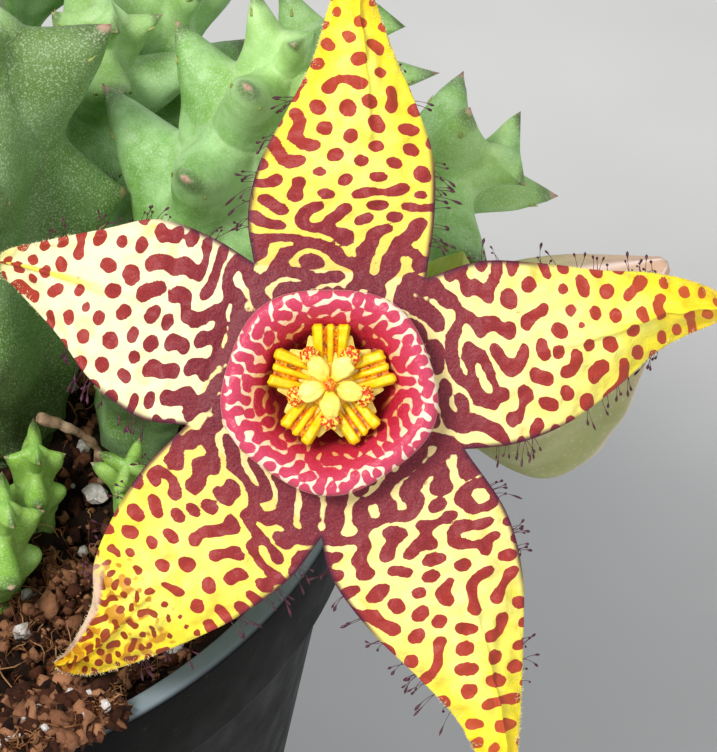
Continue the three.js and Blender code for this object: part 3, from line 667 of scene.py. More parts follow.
def make_grains(crumb, white, chip, fibre):
    draw = np.random.default_rng(31)
    crumbs = Shape()
    places = scattered(draw, 5200)
    sizes = draw.uniform(0.3, 1.0, len(places)) ** 1.5 * 0.95
    heights = soil_height(*places.T) + 0.1 + 0.5 * draw.random(len(places)) ** 2
    lumps(crumbs, draw, places, heights, sizes, CRUMB_STRETCH, 1, ROUGH_CRUMB, draw.random(len(places)))
    places = scattered(draw, 420)
    sizes = draw.uniform(0.5, 1.25, len(places))
    heights = soil_height(*places.T) + sizes * 0.2
    lumps(crumbs, draw, places, heights, sizes, (0.4, 1.2), 2, ROUGH_CRUMB, draw.random(len(places)))
    base = heap_places(draw, 240, 55, RIM_RADIUS, SPILL_SPREAD - 1)
    sizes = draw.uniform(1.1, 2.2, len(base))
    level = POT_HEIGHT + 1.2 - 0.7 * smooth(np.hypot(*base.T), 59, RIM_RADIUS)
    level += 0.5 * draw.random(len(base))
    lumps(crumbs, draw, base, level, sizes, (0.4, 0.9), 2, ROUGH_CRUMB, draw.random(len(base)))
    spill = heap_places(draw, 1100, 54, RIM_RADIUS + 0.4)
    sizes = draw.uniform(0.3, 1.0, len(spill)) ** 1.5 * 1.1
    out = np.hypot(*spill.T)
    rise = np.where(out > LIP_INSIDE - 1, POT_HEIGHT + 0.4, soil_height(*spill.T) + 1.6)
    rise += draw.random(len(spill)) * (0.6 + 2.0 * smooth(out, RIM_RADIUS, RIM_RADIUS - 4))
    lumps(crumbs, draw, spill, rise, sizes, (0.4, 1.3), 1, 0.3, draw.random(len(spill)))
    mound = MOUND_PLACE + MOUND_SPREAD * draw.normal(size=(420, 2))
    sizes = draw.uniform(0.3, 1.0, len(mound)) ** 1.5 * 1.1
    heap = MOUND_HEIGHT * np.exp(-(((mound - MOUND_PLACE) ** 2).sum(1)) / (2 * MOUND_SPREAD**2))
    level = soil_height(*mound.T) + heap * draw.random(len(mound))
    lumps(crumbs, draw, mound, level, sizes, CRUMB_STRETCH, 1, ROUGH_CRUMB, draw.uniform(0.35, 1, len(mound)))
    piece("soil_crumbs", crumbs, [crumb])

    grains = Shape()
    spilled = 44, 53, RIM_RADIUS - 1.2, SPILL_SPREAD - 1
    places = np.concatenate([scattered(draw, 400), heap_places(draw, *spilled)])
    sizes = draw.uniform(0.42, 1.0, len(places)) ** 2 * 1.45
    heights = soil_height(*places.T) + 0.55 + sizes * 0.4
    heights = np.where(np.hypot(*places.T) > LIP_INSIDE - 2, POT_HEIGHT + 2.2, heights)
    lumps(grains, draw, places, heights, sizes, (0.5, 1.25), 2, SMOOTH_GRAIN, draw.random(len(places)))
    piece("perlite", grains, [white], soft=False)

    chips = Shape()
    places = scattered(draw, 60)
    sizes = draw.uniform(0.9, 2.0, len(places))
    heights = soil_height(*places.T) + 0.5
    lumps(chips, draw, places, heights, sizes, (0.15, 1.2), 2, SMOOTH_CHIP, draw.random(len(places)))
    piece("bark_chips", chips, [chip], soft=False)

    hairs = Shape()
    places = np.concatenate([
        scattered(draw, 2000), heap_places(draw, 900, 54, RIM_RADIUS - 1),
        MOUND_PLACE + MOUND_SPREAD * draw.normal(size=(260, 2))])
    count, steps = len(places), 7
    t = np.linspace(-0.5, 0.5, steps)
    heading = draw.uniform(0, 2 * math.pi, count)
    length = draw.uniform(1.2, 3.2, count) * np.where(draw.random(count) < 0.13, 2.4, 1)
    bend = draw.normal(size=(count, 2)) * 0.3 * length[:, None]
    wave = np.sin(t * 9 + draw.uniform(0, 6, (count, 1))) * draw.uniform(0, 0.2, (count, 1)) * length[:, None]
    side = bend[:, :1] * (0.25 - t * t) * 3 + wave
    x = places[:, :1] + length[:, None] * t * np.cos(heading)[:, None] - side * np.sin(heading)[:, None]
    y = places[:, 1:] + length[:, None] * t * np.sin(heading)[:, None] + side * np.cos(heading)[:, None]
    out = np.hypot(x, y)
    z = soil_height(x, y) + 0.35 + 0.5 * draw.random((count, 1)) + np.abs(bend[:, 1:]) * (0.25 - t * t) * 4
    z = np.where(out > LIP_INSIDE - 2, np.maximum(z, POT_HEIGHT + 0.8 + 2 * draw.random((count, 1))), z)
    keep = out.max(1) < RIM_RADIUS + 0.4
    paths = np.stack([x, y, z], -1)[keep]
    radii = draw.uniform(0.04, 0.13, (len(paths), 1)) * (1 - 0.6 * np.abs(2 * t) ** 3)
    strands(hairs, paths, radii, 3, tone=draw.random((len(paths), 1)) + 0 * radii)
    piece("soil_fibres", hairs, [fibre])


# The stems. Each has its foot, its tip, a bow, body radius, tooth length, levels and turn.
STEMS = [
    ("stem_front_left", (22.5, -4), (23.4, -5, 155.4), (-0.8, 0), 7.6, 7.1, 5, 2),
    ("stem_middle", (37, -5), (55.6, -3.5, 151), (0.8, -0.5), 5.8, 8, 9, -29),
    ("stem_right", (49.5, 10.5), (77, 9, 126.4), (4, 0), 4.8, 8.4, 5, 6),
    ("stem_back_left", (30, 20), (34, 19, 138), (-1, 0), 5.4, 7.4, 7, 12),
    ("stem_back", (36.5, 34.5), (41, 36, 132), (0, 1), 4.6, 7.4, 6, 35),
    ("stem_far_right", (47.5, 25), (62.5, 33, 127), (2, 1.5), 4.4, 6.4, 6, 8),
    ("stem_centre", (7, 14), (4, 15, 152), (-2, 1), 6, 7.6, 8, 25),
    ("stem_left", (-9, -2), (-15, -3, 147), (-1, -2), 6.2, 7.8, 7, 50),
    ("stem_rear", (17, 38), (24, 42, 138), (0, 1), 5, 7.4, 7, 0),
    ("stem_rear_left", (-13, 31), (-20, 38, 143), (-2, 0), 5.6, 7.6, 7, 40),
    ("stem_far_left", (-33, 10), (-46, 14, 136), (-3, 1), 5.4, 7.4, 6, 18),
    ("stem_side", (-30, -17), (-37, -26, 131), (-2, -1), 5.4, 7.2, 6, 66),
    ("stem_near", (-10, -29), (-11, -41, 128), (0, -3), 5.2, 7, 5, 30),
]
SHOOTS = [
    ("shoot_low_left", (26.5, -18), (27, -18.5, 108.5), (0, 0), 3, 5, 3, 8),
    ("shoot_lower", (23, -29), (24.5, -30, 111), (0, 0), 3.6, 6, 3, 12),
    ("shoot_middle", (36.8, -16.6), (36.8, -18.8, 106.6), (0, 0), 2.8, 4.6, 3, 70),
]
ROOT_SHARE = 0.7
CROWDING = 1.45
YOUNG = 8
UNEVEN = 0.22


def tooth_shape(distance):
    inside = np.maximum(0, 1 - distance)
    broad = np.maximum(0, 1 - distance * distance)
    return 0.45 * broad * broad + 0.55 * inside**2.8


def stem_path(foot, tip, bow, radius):
    tip = np.array(tip, float)
    angles = 2 * math.pi * np.arange(12) / 12
    round_foot = soil_height(foot[0] + radius * np.cos(angles), foot[1] + radius * np.sin(angles)).max() + GAP
    lean = math.hypot(tip[0] - foot[0], tip[1] - foot[1]) / (tip[2] - SOIL_LEVEL)
    start = np.array([*foot, round_foot + 0.4 + radius * min(1, lean)])
    middle = mix(start, tip, 0.5)
    middle[2] += 0.12 * (tip[2] - start[2])
    middle[:2] = mix(start[:2], middle[:2], 0.6) + bow
    t = np.linspace(0, 1, 500)[:, None]
    return (1 - t) ** 2 * start + 2 * t * (1 - t) * middle + t * t * tip, round_foot


def make_stem(stem, material, around, per_level, age):
    name, foot, tip, bow, radius, tooth, levels, turn = stem
    curve, round_foot = stem_path(foot, tip, bow, radius)
    level = np.arange(levels * per_level + 1) / per_level
    s = 1 - (1 - level / levels) ** CROWDING
    centre, tangent, length = even_along(curve, s)
    from_tip = (1 - s) * length
    side = unit(np.array([1.0, 0, 0]) - tangent * tangent[:, :1])
    other = np.cross(tangent, side)
    body = radius * mix(0.46, 1, smooth(from_tip, 0, 1.4 * YOUNG)) * mix(0.8, 1, smooth(s, 0, 0.2))
    height = tooth * mix(0.35, 1, smooth(from_tip, 0, YOUNG)) * mix(0.7, 1, smooth(s, 0, 0.35))
    place = np.arange(around) * 4 / around
    ridge = np.round(place)
    off = np.abs(place - ridge) * 2
    to_level = np.abs(((level[:, None] - ridge % 2 + 1 + 200) % 2) - 1)
    distance = np.hypot(off, to_level)
    started = smooth(level, 0.1, 0.9)[:, None]
    nearest_level = ridge % 2 + 2 * np.round((level[:, None] - ridge % 2) / 2)
    growth = 1 + UNEVEN * np.sin(1.7 * nearest_level + 2.9 * (ridge % 4) + 0.17 * turn)
    out = started * height[:, None] * growth * tooth_shape(distance)
    nearest = np.minimum(np.hypot(2 - off, 1 - to_level), np.hypot(off, 2 - to_level))
    crease = np.exp(-(((nearest - distance) / 0.16) ** 2)) * started
    reach = body[:, None] * (1 + 0.1 * np.cos(off * math.pi)) + out - 0.05 * body[:, None] * crease
    angle = math.radians(turn) + 2 * math.pi * np.arange(around) / around
    ring = side[:, None] * np.cos(angle)[:, None] + other[:, None] * np.sin(angle)[:, None]
    rise = out * (0.55 + 0.4 * s[:, None] ** 4)
    points = centre[:, None] + ring * reach[..., None] + tangent[:, None] * rise[..., None]
    calm = smooth(distance, 0.05, 0.4)
    points += ring * (0.16 * calm * ripple(points, 2.6, len(name)))[..., None]

    # The straight root, and the narrow waist between it and the first ring
    root = []
    for z in (ROOT_END, round_foot - 1.2, round_foot):
        root.append(np.stack([
            foot[0] + radius * ROOT_SHARE * np.cos(angle), foot[1] + radius * ROOT_SHARE * np.sin(angle),
            z + 0 * angle], -1))
    points = np.concatenate([root, points])
    blank = np.zeros((len(root), around))
    apex = centre[-1] + tangent[-1] * radius * 0.45
    rows = len(points)
    last = (rows - 1) * around + np.arange(around)
    fan = np.stack([last, np.roll(last, -1), np.full(around, rows * around)], 1)
    pad = [0.0]
    values = {
        "tip": np.concatenate([blank, smooth(distance, 0.34, 0.0) * started]),
        "crease": np.concatenate([blank, crease * calm]),
        "new": np.concatenate([blank, smooth(from_tip, 12, 0)[:, None] + 0 * distance]),
        "age": age + np.concatenate([blank + 0.6, 0.6 * smooth(s, 0.35, 0)[:, None] + 0 * distance]),
    }
    shape = Shape()
    flat = {key: np.r_[value.ravel(), pad] for key, value in values.items()}
    shape.add(np.vstack([points.reshape(-1, 3), apex]), [grid_quads(rows, around, wrap=True), fan], **flat)
    piece(name + "_skin", shape, [material], [name])

    # Two tiny horns beside each tooth's spine
    horns = []
    columns = around // 4
    beside = max(1, round(0.14 * columns))
    for k in range(1, levels + 1):
        row = len(root) + round(k * per_level - 0.12 * per_level)
        for i in range(4):
            if (k - i) % 2 == 0 and height[k * per_level] > 3:
                for flip in (-1, 1):
                    column = (i * columns + flip * beside) % around
                    horns.append((points[row, column], ring[k * per_level, column], tangent[k * per_level]))
    return horns


def make_horns(horns, material):
    at, out, up = (np.array(part) for part in zip(*horns))
    t = np.linspace(-0.35, 1, 5)[None, :, None]
    lean = unit(out + 0.9 * up)
    paths = at[:, None] + lean[:, None] * t * 0.75 + up[:, None] * 0.12 * t**2
    shape = Shape()
    strands(shape, paths, np.array([[0.24, 0.22, 0.15, 0.08, 0.02]]), 5)
    piece("tooth_horns", shape, [material])


# The flower, in its own frame: x to the right, y up the picture, z out of the flower
FLOWER_CENTRE = np.array([58.5, -35.1, 132.4])
FLOWER_TILT = math.radians(48)
FLOWER_RIGHT = np.array([1.0, 0, 0])
FLOWER_UP = np.array([0, math.cos(FLOWER_TILT), math.sin(FLOWER_TILT)])
FLOWER_OUT = np.array([0, -math.sin(FLOWER_TILT), math.cos(FLOWER_TILT)])
FLOWER_BACK = 5.8
SINUS_RADIUS = 14.8
SINUS_ANGLES = [120.8, 49.2, -23.7, -93.2, -166.2]
LOBE_SKIN = 1.2
EDGE_SKIN = 0.7
TIP_HALF = 0.35
# Each lobe's edges run from its two sinuses through five points to the tip. Height, fold and
# roll are given at the five points and the tip, and rib is where its middle rib runs.
LOBES = [
    dict(
        name="top", tip=(2.4, 45.3), rib=0.25, cream=0.12, warmth=0.0,
        left=[(-8.2, 17.3), (-7.1, 22.6), (-4.3, 28), (-1.7, 33.2), (-0.1, 38.5)],
        right=[(10.5, 17.3), (10.4, 23.3), (8.7, 28.6), (6.4, 34), (4.6, 39)],
        height=[0.4, 0.7, 0.9, 0.8, 0.3, -0.6],
        fold=[0.5, 1, 1.4, 1.6, 1.2, 0.2], roll=[0, 0, 0, -0.2, -0.3, 0]),
    dict(
        name="right", tip=(42.2, 7.8), rib=0.05, cream=0.55, warmth=0.0,
        left=[(15.2, 12.9), (21.2, 12.7), (27.2, 12), (33, 11.7), (38, 10.4)],
        right=[(18.6, -5.4), (23.8, -3.4), (28.9, 0.2), (33.6, 4.2), (38.4, 6.5)],
        height=[0.4, 0.6, 0.5, 0, -0.8, -2],
        fold=[0.5, 1.2, 2, 2.4, 1.6, 0.2], roll=[0, -0.4, -1.2, -1.2, -0.4, 0]),
    dict(
        name="lower_right", tip=(17.8, -43.4), rib=-0.28, cream=0.5, warmth=0.0,
        left=[(17.8, -12.4), (19.4, -18.6), (19.5, -25.2), (19.3, -31.6), (18.9, -37.2)],
        right=[(0.1, -18.6), (4.2, -24.3), (8.8, -28.8), (12.8, -33.2), (15.4, -38)],
        height=[0.3, 0.4, 0.1, -0.6, -1.6, -3],
        fold=[0.5, 1.1, 1.7, 1.8, 1.2, 0.2], roll=[0, 0.3, 0.6, 0.5, 0.3, 0]),
    dict(
        name="lower_left", tip=(-28.4, -28.4), rib=0.0, cream=0.2, warmth=1.0,
        left=[(-4, -18.9), (-9.2, -22.8), (-15, -25.7), (-20.6, -28), (-25.2, -29.2)],
        right=[(-18.6, -7.8), (-21.6, -12.4), (-23.8, -17.6), (-24, -21.4), (-26, -25.4)],
        height=[0.2, -0.2, -1.4, -3.6, -7, -12],
        fold=[0.5, 1, 1.6, 1.6, 0.8, 0.2], roll=[0, 0, 0.2, 1.2, 1.8, 0.4]),
    dict(
        name="left", tip=(-33.6, 12.9), rib=0.0, cream=1.0, warmth=0.0,
        left=[(-19, -2.8), (-23.8, 0.8), (-27.4, 5.6), (-30.9, 9.4), (-33.2, 11.9)],
        right=[(-11.6, 15.2), (-17, 17.1), (-23, 16.1), (-28.9, 15), (-33.2, 13.9)],
        height=[0.4, 0.6, 0.3, -0.9, -4.4, -12],
        fold=[0.5, 1, 1.5, 1.8, 1.4, 0.3], roll=[0, 0, 0, 0, 0, 0]),
]
RING_PROFILE = [
    (3.2, -3.2), (4.6, -2), (5.6, -0.2), (6.6, 1.6), (7.9, 3.1), (9.3, 4), (10.3, 3.9), (10.75, 3.2),
    (10.3, 1.2), (10.9, 0.3),
]
RING_FROM, RING_DEPTH, RING_TURN, RING_SQUASH = 6, 0.028, 54, 0.955
RING_EDGE = 10.8
BACK_PROFILE = [(3, -5.2), (6.4, -4.6), (9, -2.4)]


def placed(local):
    """Points of the flower's own frame, in the row's frame."""
    x, y, z = (np.asarray(local, float)[..., k, None] for k in range(3))
    return FLOWER_CENTRE + x * FLOWER_RIGHT + y * FLOWER_UP + z * FLOWER_OUT


# The marks grow as spots and stripes do in nature, by short-range activation and longer-range
# inhibition, on a grid over the flower. The bias makes them solid, striped or spotted, and the
# waves are stretched across each lobe.
MARK_CELL = 0.125
MARK_FROM = (-38.0, -48.0)
MARK_CELLS = (672, 768)
MARK_SEED = 8
MARK_GAIN = 9
MARK_ROUNDS = 14


class Marks:
    def __init__(self):
        columns, rows = MARK_CELLS
        self.x, self.y = np.meshgrid(
            MARK_FROM[0] + MARK_CELL * np.arange(columns), MARK_FROM[1] + MARK_CELL * np.arange(rows))
        self.across, self.up = np.meshgrid(
            np.fft.rfftfreq(columns, MARK_CELL), np.fft.fftfreq(rows, MARK_CELL))
        draw = np.random.default_rng(MARK_SEED)
        radius = np.hypot(self.x, self.y / RING_SQUASH)
        angle = np.degrees(np.arctan2(self.y, self.x))
        sectors, reach = [], np.zeros_like(self.x)
        for k, lobe in enumerate(LOBES):
            span = (SINUS_ANGLES[k] - SINUS_ANGLES[(k + 1) % 5]) % 360
            inside = ((SINUS_ANGLES[k] - angle) % 360) < span
            tip = np.array(lobe["tip"])
            size = np.linalg.norm(tip)
            along = (self.x * tip[0] + self.y * tip[1]) / size
            reach = np.where(inside, (along - RING_EDGE) / (size - RING_EDGE), reach)
            sectors.append(self.blurred(inside.astype(float), 0.7))
        sectors = np.array(sectors) / np.sum(sectors, 0)
        reach = self.blurred(reach, 0.5)
        ring = 1 - smooth(radius, 10.6, 11.2)
        fine = smooth(reach, 0.55, 0.95)
        foot = 1 - smooth(reach, 0.22, 0.42)
        warm = sectors[3] * smooth(reach, 0.42, 0.6)
        fine = fine * (1 - warm)
        waves = [
            (ring, self.wave(0.82, 1, 0)), ((1 - ring) * fine, self.wave(1.15, 1.1, 0)),
            (warm, self.wave(0.68, 1.2, 0))]
        for lobe, sector in zip(LOBES, sectors):
            turn = math.atan2(lobe["tip"][1], lobe["tip"][0])
            share = sector * (1 - ring) * (1 - fine) * (1 - warm)
            waves.append((share * foot, self.wave(1.05, 2.0, turn)))
            waves.append((share * (1 - foot), self.wave(1.4, 1.3, turn)))
        field = self.noise(draw, self.spread(0.25))
        rough = self.noise(draw, self.spread(1.1))
        bias = np.interp(
            reach, [-0.2, 0, 0.1, 0.2, 0.3, 0.42, 0.6, 1],
            [0.04, 0.04, 0.01, -0.07, -0.13, -0.16, -0.18, -0.18])
        bias = self.blurred(np.where(ring > 0.5, -0.05, bias) + 0.025 * rough, 0.3)
        for _ in range(MARK_ROUNDS):
            spectrum = np.fft.rfft2(field)
            pull = sum(weight * np.fft.irfft2(spectrum * wave, s=field.shape) for weight, wave in waves)
            field = np.tanh(MARK_GAIN * (pull + bias))
        grow = np.interp(
            reach, [-0.2, 0, 0.05, 0.1, 0.18, 0.3, 0.5, 0.8, 1],
            [0.74, 0.74, 0.69, 0.58, 0.44, 0.37, 0.33, 0.33, 0.34])
        grow = np.where(ring > 0.5, 0.78 + 0.04 * rough, grow + 0.1 * rough)
        tiny = self.noise(draw, self.spread(0.17) - self.spread(0.34))
        field = np.where(ring > 0.5, self.blurred(field, 0.13), self.blurred(field, 0.17))
        self.field = field + grow + 0.1 * tiny
        self.mottle = self.noise(draw, self.spread(0.24))

    def noise(self, draw, shape):
        field = np.fft.irfft2(np.fft.rfft2(draw.standard_normal(self.x.shape)) * shape, s=self.x.shape)
        return field / field.std()

    def spread(self, size):
        return np.exp(-2 * (math.pi * size) ** 2 * (self.across**2 + self.up**2))

    def blurred(self, field, size):
        return np.fft.irfft2(np.fft.rfft2(field) * self.spread(size), s=field.shape)

    def wave(self, size, stretch, turn):
        along = self.across * math.cos(turn) + self.up * math.sin(turn)
        beside = (self.up * math.cos(turn) - self.across * math.sin(turn)) * stretch
        square = along**2 + beside**2
        near = 0.22 * size
        return np.exp(-2 * (math.pi * near) ** 2 * square) - np.exp(-2 * (math.pi * near * 1.9) ** 2 * square)

    def at(self, field, x, y):
        columns, rows = MARK_CELLS
        right = np.clip((x - MARK_FROM[0]) / MARK_CELL, 0, columns - 1.001)
        up = np.clip((y - MARK_FROM[1]) / MARK_CELL, 0, rows - 1.001)
        i, j = right.astype(int), up.astype(int)
        a, b = right - i, up - j
        low = field[j, i] * (1 - a) + field[j, i + 1] * a
        high = field[j + 1, i] * (1 - a) + field[j + 1, i + 1] * a
        return low * (1 - b) + high * b


LOBE_ACROSS = 84
LOBE_ALONG = 124
UNDER_STEP = 7
RING_ROWS = 64
FOOT_ROWS = 10


def lobe_edges(k, u):
    lobe = LOBES[k]
    ends = [math.radians(SINUS_ANGLES[k]), math.radians(SINUS_ANGLES[(k + 1) % 5])]
    start, end = (np.array([math.cos(a), math.sin(a)]) * SINUS_RADIUS for a in ends)
    return catmull([start, *lobe["left"], lobe["tip"]], u), catmull([end, *lobe["right"], lobe["tip"]], u)


def lobe_face(k, u, v):
    """Points of a lobe's face: u runs from foot to tip, v from -1 at its left edge to 1."""
    lobe = LOBES[k]
    left, right = lobe_edges(k, u)

    def stations(values):
        return profile_at([(i / 6, value) for i, value in enumerate([0, *values])], u)[:, None]

    flat = left[:, None] * (1 - v[None, :, None]) / 2 + right[:, None] * (1 + v[None, :, None]) / 2
    ends = lobe_edges(k, np.array([0.9]))
    side = unit(ends[1][0] - ends[0][0])
    flat = flat + (v[None] * TIP_HALF * smooth(u, 0.9, 1)[:, None])[..., None] * side
    height = stations(lobe["height"]) - stations(lobe["fold"]) * np.abs(v) ** 1.6 + stations(lobe["roll"]) * v
    return np.concatenate([flat, height[..., None]], -1)


def petal_relief(points, u, v, rib):
    """Soft puckers over a lobe, and a low rib along its middle towards the tip."""
    flat = points * [1, 1, 0]
    away = smooth(u, 0.02, 0.2)
    inward = 1 - smooth(np.abs(v), 0.9, 1)
    pucker = 0.24 * ripple(flat, 1.6, 41) + 0.14 * ripple(flat, 0.9, 42)
    ridge = 0.55 * np.exp(-(((v - rib) / 0.055) ** 2)) * smooth(u, 0.15, 0.5) * (1 - smooth(u, 0.9, 1))
    return away * (inward * pucker + ridge)


def middle_rows(foot, profile, rows):
    """Rows of the flower's middle under one lobe, from near the centre out to the lobe's foot."""
    size = np.linalg.norm(foot[:, :2], axis=1)
    bend = np.cos(5 * (np.arctan2(foot[:, 1], foot[:, 0]) - math.radians(RING_TURN)))
    curve = catmull(np.array([(0.25, profile[0][1]), *profile]), np.linspace(0, 1, rows))
    out = []
    for radius, z in curve:
        around = 1 + RING_DEPTH * bend * smooth(radius, RING_FROM - 1, RING_FROM + 1)
        scale = radius * around / size
        flat = foot[:, :2] * scale[:, None] * [1, RING_SQUASH]
        out.append(np.concatenate([flat, np.full((len(foot), 1), z)], 1))
    return np.array(out), curve


def make_corolla(marks, face, back):
    shape = Shape()
    u = np.linspace(0, 1, LOBE_ALONG + 1)
    v = np.linspace(-1, 1, LOBE_ACROSS + 1)
    columns = LOBE_ACROSS + 1
    names = (
        "mark", "reach", "pale", "cream", "hollow_shade", "rib", "mottle", "warm", "curl", "rim", "ring", "crest_highlight")
    plain = {name: 0.0 for name in names} | {"mark": -1.0, "ring": 1.0, "mottle": -3.0}
    lobes = []
    for k, lobe in enumerate(LOBES):
        top = lobe_face(k, u, v)
        along = np.gradient(top, axis=0)
        side = np.gradient(top, axis=1)
        normal = unit(np.cross(side, along))
        normal[0] = [0, 0, 1]
        thin = np.maximum(smooth(u, 0.3, 1)[:, None], v[None] ** 2)
        under = top - normal * mix(LOBE_SKIN, EDGE_SKIN, thin)[..., None]
        relief = petal_relief(top, u[:, None] + 0 * v, v[None] + 0 * u[:, None], lobe["rib"])
        shown = top + normal * relief[..., None]
        x, y = top[..., 0], top[..., 1]
        tip = np.array(lobe["tip"])
        size = np.linalg.norm(tip)
        reach = ((x * tip[0] + y * tip[1]) / size - RING_EDGE) / (size - RING_EDGE)
        edge = np.abs(v)[None] + 0 * reach
        mottled = lobe["warmth"] * smooth(reach, 0.45, 0.62)
        mark = marks.at(marks.field, x, y) - 0.12 * mottled
        inner = mix(1, smooth(reach, 0.75, 0.2), lobe["cream"] < 0.9)
        cream = lobe["cream"] * (1 - smooth(reach, 0.9, 1) * 0.3) * inner
        values = dict(
            mark=mark, reach=np.clip(reach * (1 - 0.4 * (lobe["cream"] > 0.9)), 0, 1),
            pale=(1 - smooth(edge, 0.25, 0.8)) * smooth(reach, 0.12, 0.4) * (1 - smooth(reach, 0.6, 0.85)),
            cream=cream, warm=mottled,
            curl=lobe["warmth"] * smooth(v[None] + 0 * reach, 0.66, 0.82) * smooth(reach, 0.56, 0.7),
            # This value is painted shade: it is highest in the hollows of the puckers towards the lobes'
            # edges.
            hollow_shade=0.8 * smooth(edge, 0.2, 1.0) * smooth(-relief, -0.05, 0.2),
            rib=0.9 * np.exp(-(((v[None] - lobe["rib"]) / 0.07) ** 2)) * smooth(reach, 0.45, 0.75),
            mottle=marks.at(marks.mottle, x, y) - mix(3.0, 0.2, mottled),
            rim=smooth(edge, 0.93, 0.99) * (1 - smooth(reach, 0.3, 0.55)),
            ring=np.ones_like(reach), crest_highlight=np.zeros_like(reach))
        shape.add(shown, grid_quads(len(u), columns), 0, **values)
        coarse = under[:, ::UNDER_STEP]
        shape.add(coarse, grid_quads(len(u), coarse.shape[1])[:, ::-1], 1, **plain)
        for strip in ((shown[:, 0], under[:, 0]), (under[:, -1], shown[:, -1])):
            shape.add(np.stack(strip), grid_quads(2, len(u)), 1, **plain)
        steps = np.arange(coarse.shape[1] - 1)
        upper = steps[:, None] * UNDER_STEP + np.arange(UNDER_STEP + 1)
        lower = columns + np.stack([steps + 1, steps], 1)
        tip_faces = np.concatenate([upper, lower], 1)[:, ::-1]
        shape.add(np.concatenate([shown[-1], coarse[-1]]), tip_faces, 1, **plain)
        lobes.append(shown)

        rows, curve = middle_rows(shown[0], RING_PROFILE, RING_ROWS)
        share = np.linspace(0, 1, FOOT_ROWS + 1)[1:, None, None]
        outer = mix(rows[-1], shown[0], share)
        outer[..., 2] = mix(rows[-1][..., 2], shown[0][..., 2], smooth(share[..., 0], 0, 1))
        rows = np.concatenate([rows, outer])
        x, y = rows[..., 0], rows[..., 1]
        radius = np.hypot(x, y / RING_SQUASH)
        path = np.r_[0, np.cumsum(np.linalg.norm(np.diff(curve, axis=0), axis=1))]
        across = np.r_[path / path[-1], np.ones(FOOT_ROWS)][:, None] + 0 * x
        crest_at = path[np.argmax(curve[:, 0] * (curve[:, 1] > 2.5))] / path[-1]
        bumps = 0.1 * ripple(rows * [1, 1, 0.4], 1.6, 44) * smooth(radius, 2, 5)
        rows[:-1, :, 2] += bumps[:-1] * (1 - smooth(across[:-1], 0.9, 1))
        reach = ((x * tip[0] + y * tip[1]) / size - RING_EDGE) / (size - RING_EDGE)
        mark = marks.at(marks.field, x, y)
        outside = np.maximum(mark, 0.2 + 0.6 * marks.at(marks.mottle, x * 2, y * 2))
        mark = np.where((across > crest_at + 0.02) & (across < 1), outside, mark)
        values = dict(
            mark=mark, reach=np.clip(reach, 0, 1), pale=0 * x, cream=0.5 + 0 * x, hollow_shade=0 * x, rib=0 * x,
            mottle=0 * x - 3, warm=0 * x, curl=0 * x, rim=0 * x,
            ring=np.where(across < 1, across * 0.95, 1),
            # This value marks a thin band along the ring's crest, which is painted as a near-white highlight.
            crest_highlight=np.exp(-(((across - crest_at) / 0.012) ** 2)))
        shape.add(rows, grid_quads(len(rows), columns), 0, **values)
        back_rows, _ = middle_rows(coarse[0], BACK_PROFILE, 10)
        back_rows = np.concatenate([back_rows, coarse[:1]])
        shape.add(back_rows, grid_quads(len(back_rows), coarse.shape[1])[:, ::-1], 1, **plain)
        for ring_row, flip, kind in ((rows[0], 1, 0), (back_rows[0], -1, 1)):
            i = np.arange(len(ring_row) - 1)
            fan = np.stack([i, i * 0 + len(ring_row), i + 1], 1)[:, ::flip]
            hub = [[0, 0, ring_row[0][2]]]
            shape.add(np.concatenate([ring_row, hub]), fan, kind, **plain | {"ring": float(kind)})
    shape.weld()
    shape.points = [placed(shape.points[0])]
    piece("star_flower", shape, [face, back], ["corolla"])
    return lobes


# The crown in the flower's middle
CORONA_SHIFT = np.array([0.1, 0.5, 1.3])


def turned_about(points, degrees):
    c, s = math.cos(math.radians(degrees)), math.sin(math.radians(degrees))
    x, y, z = (points[..., k] for k in range(3))
    return np.stack([x * c - y * s, x * s + y * c, z], -1)


def on_crown(shape, points, degrees, faces, **values):
    shape.add(placed(turned_about(points, degrees) + CORONA_SHIFT), faces, 0, **values)


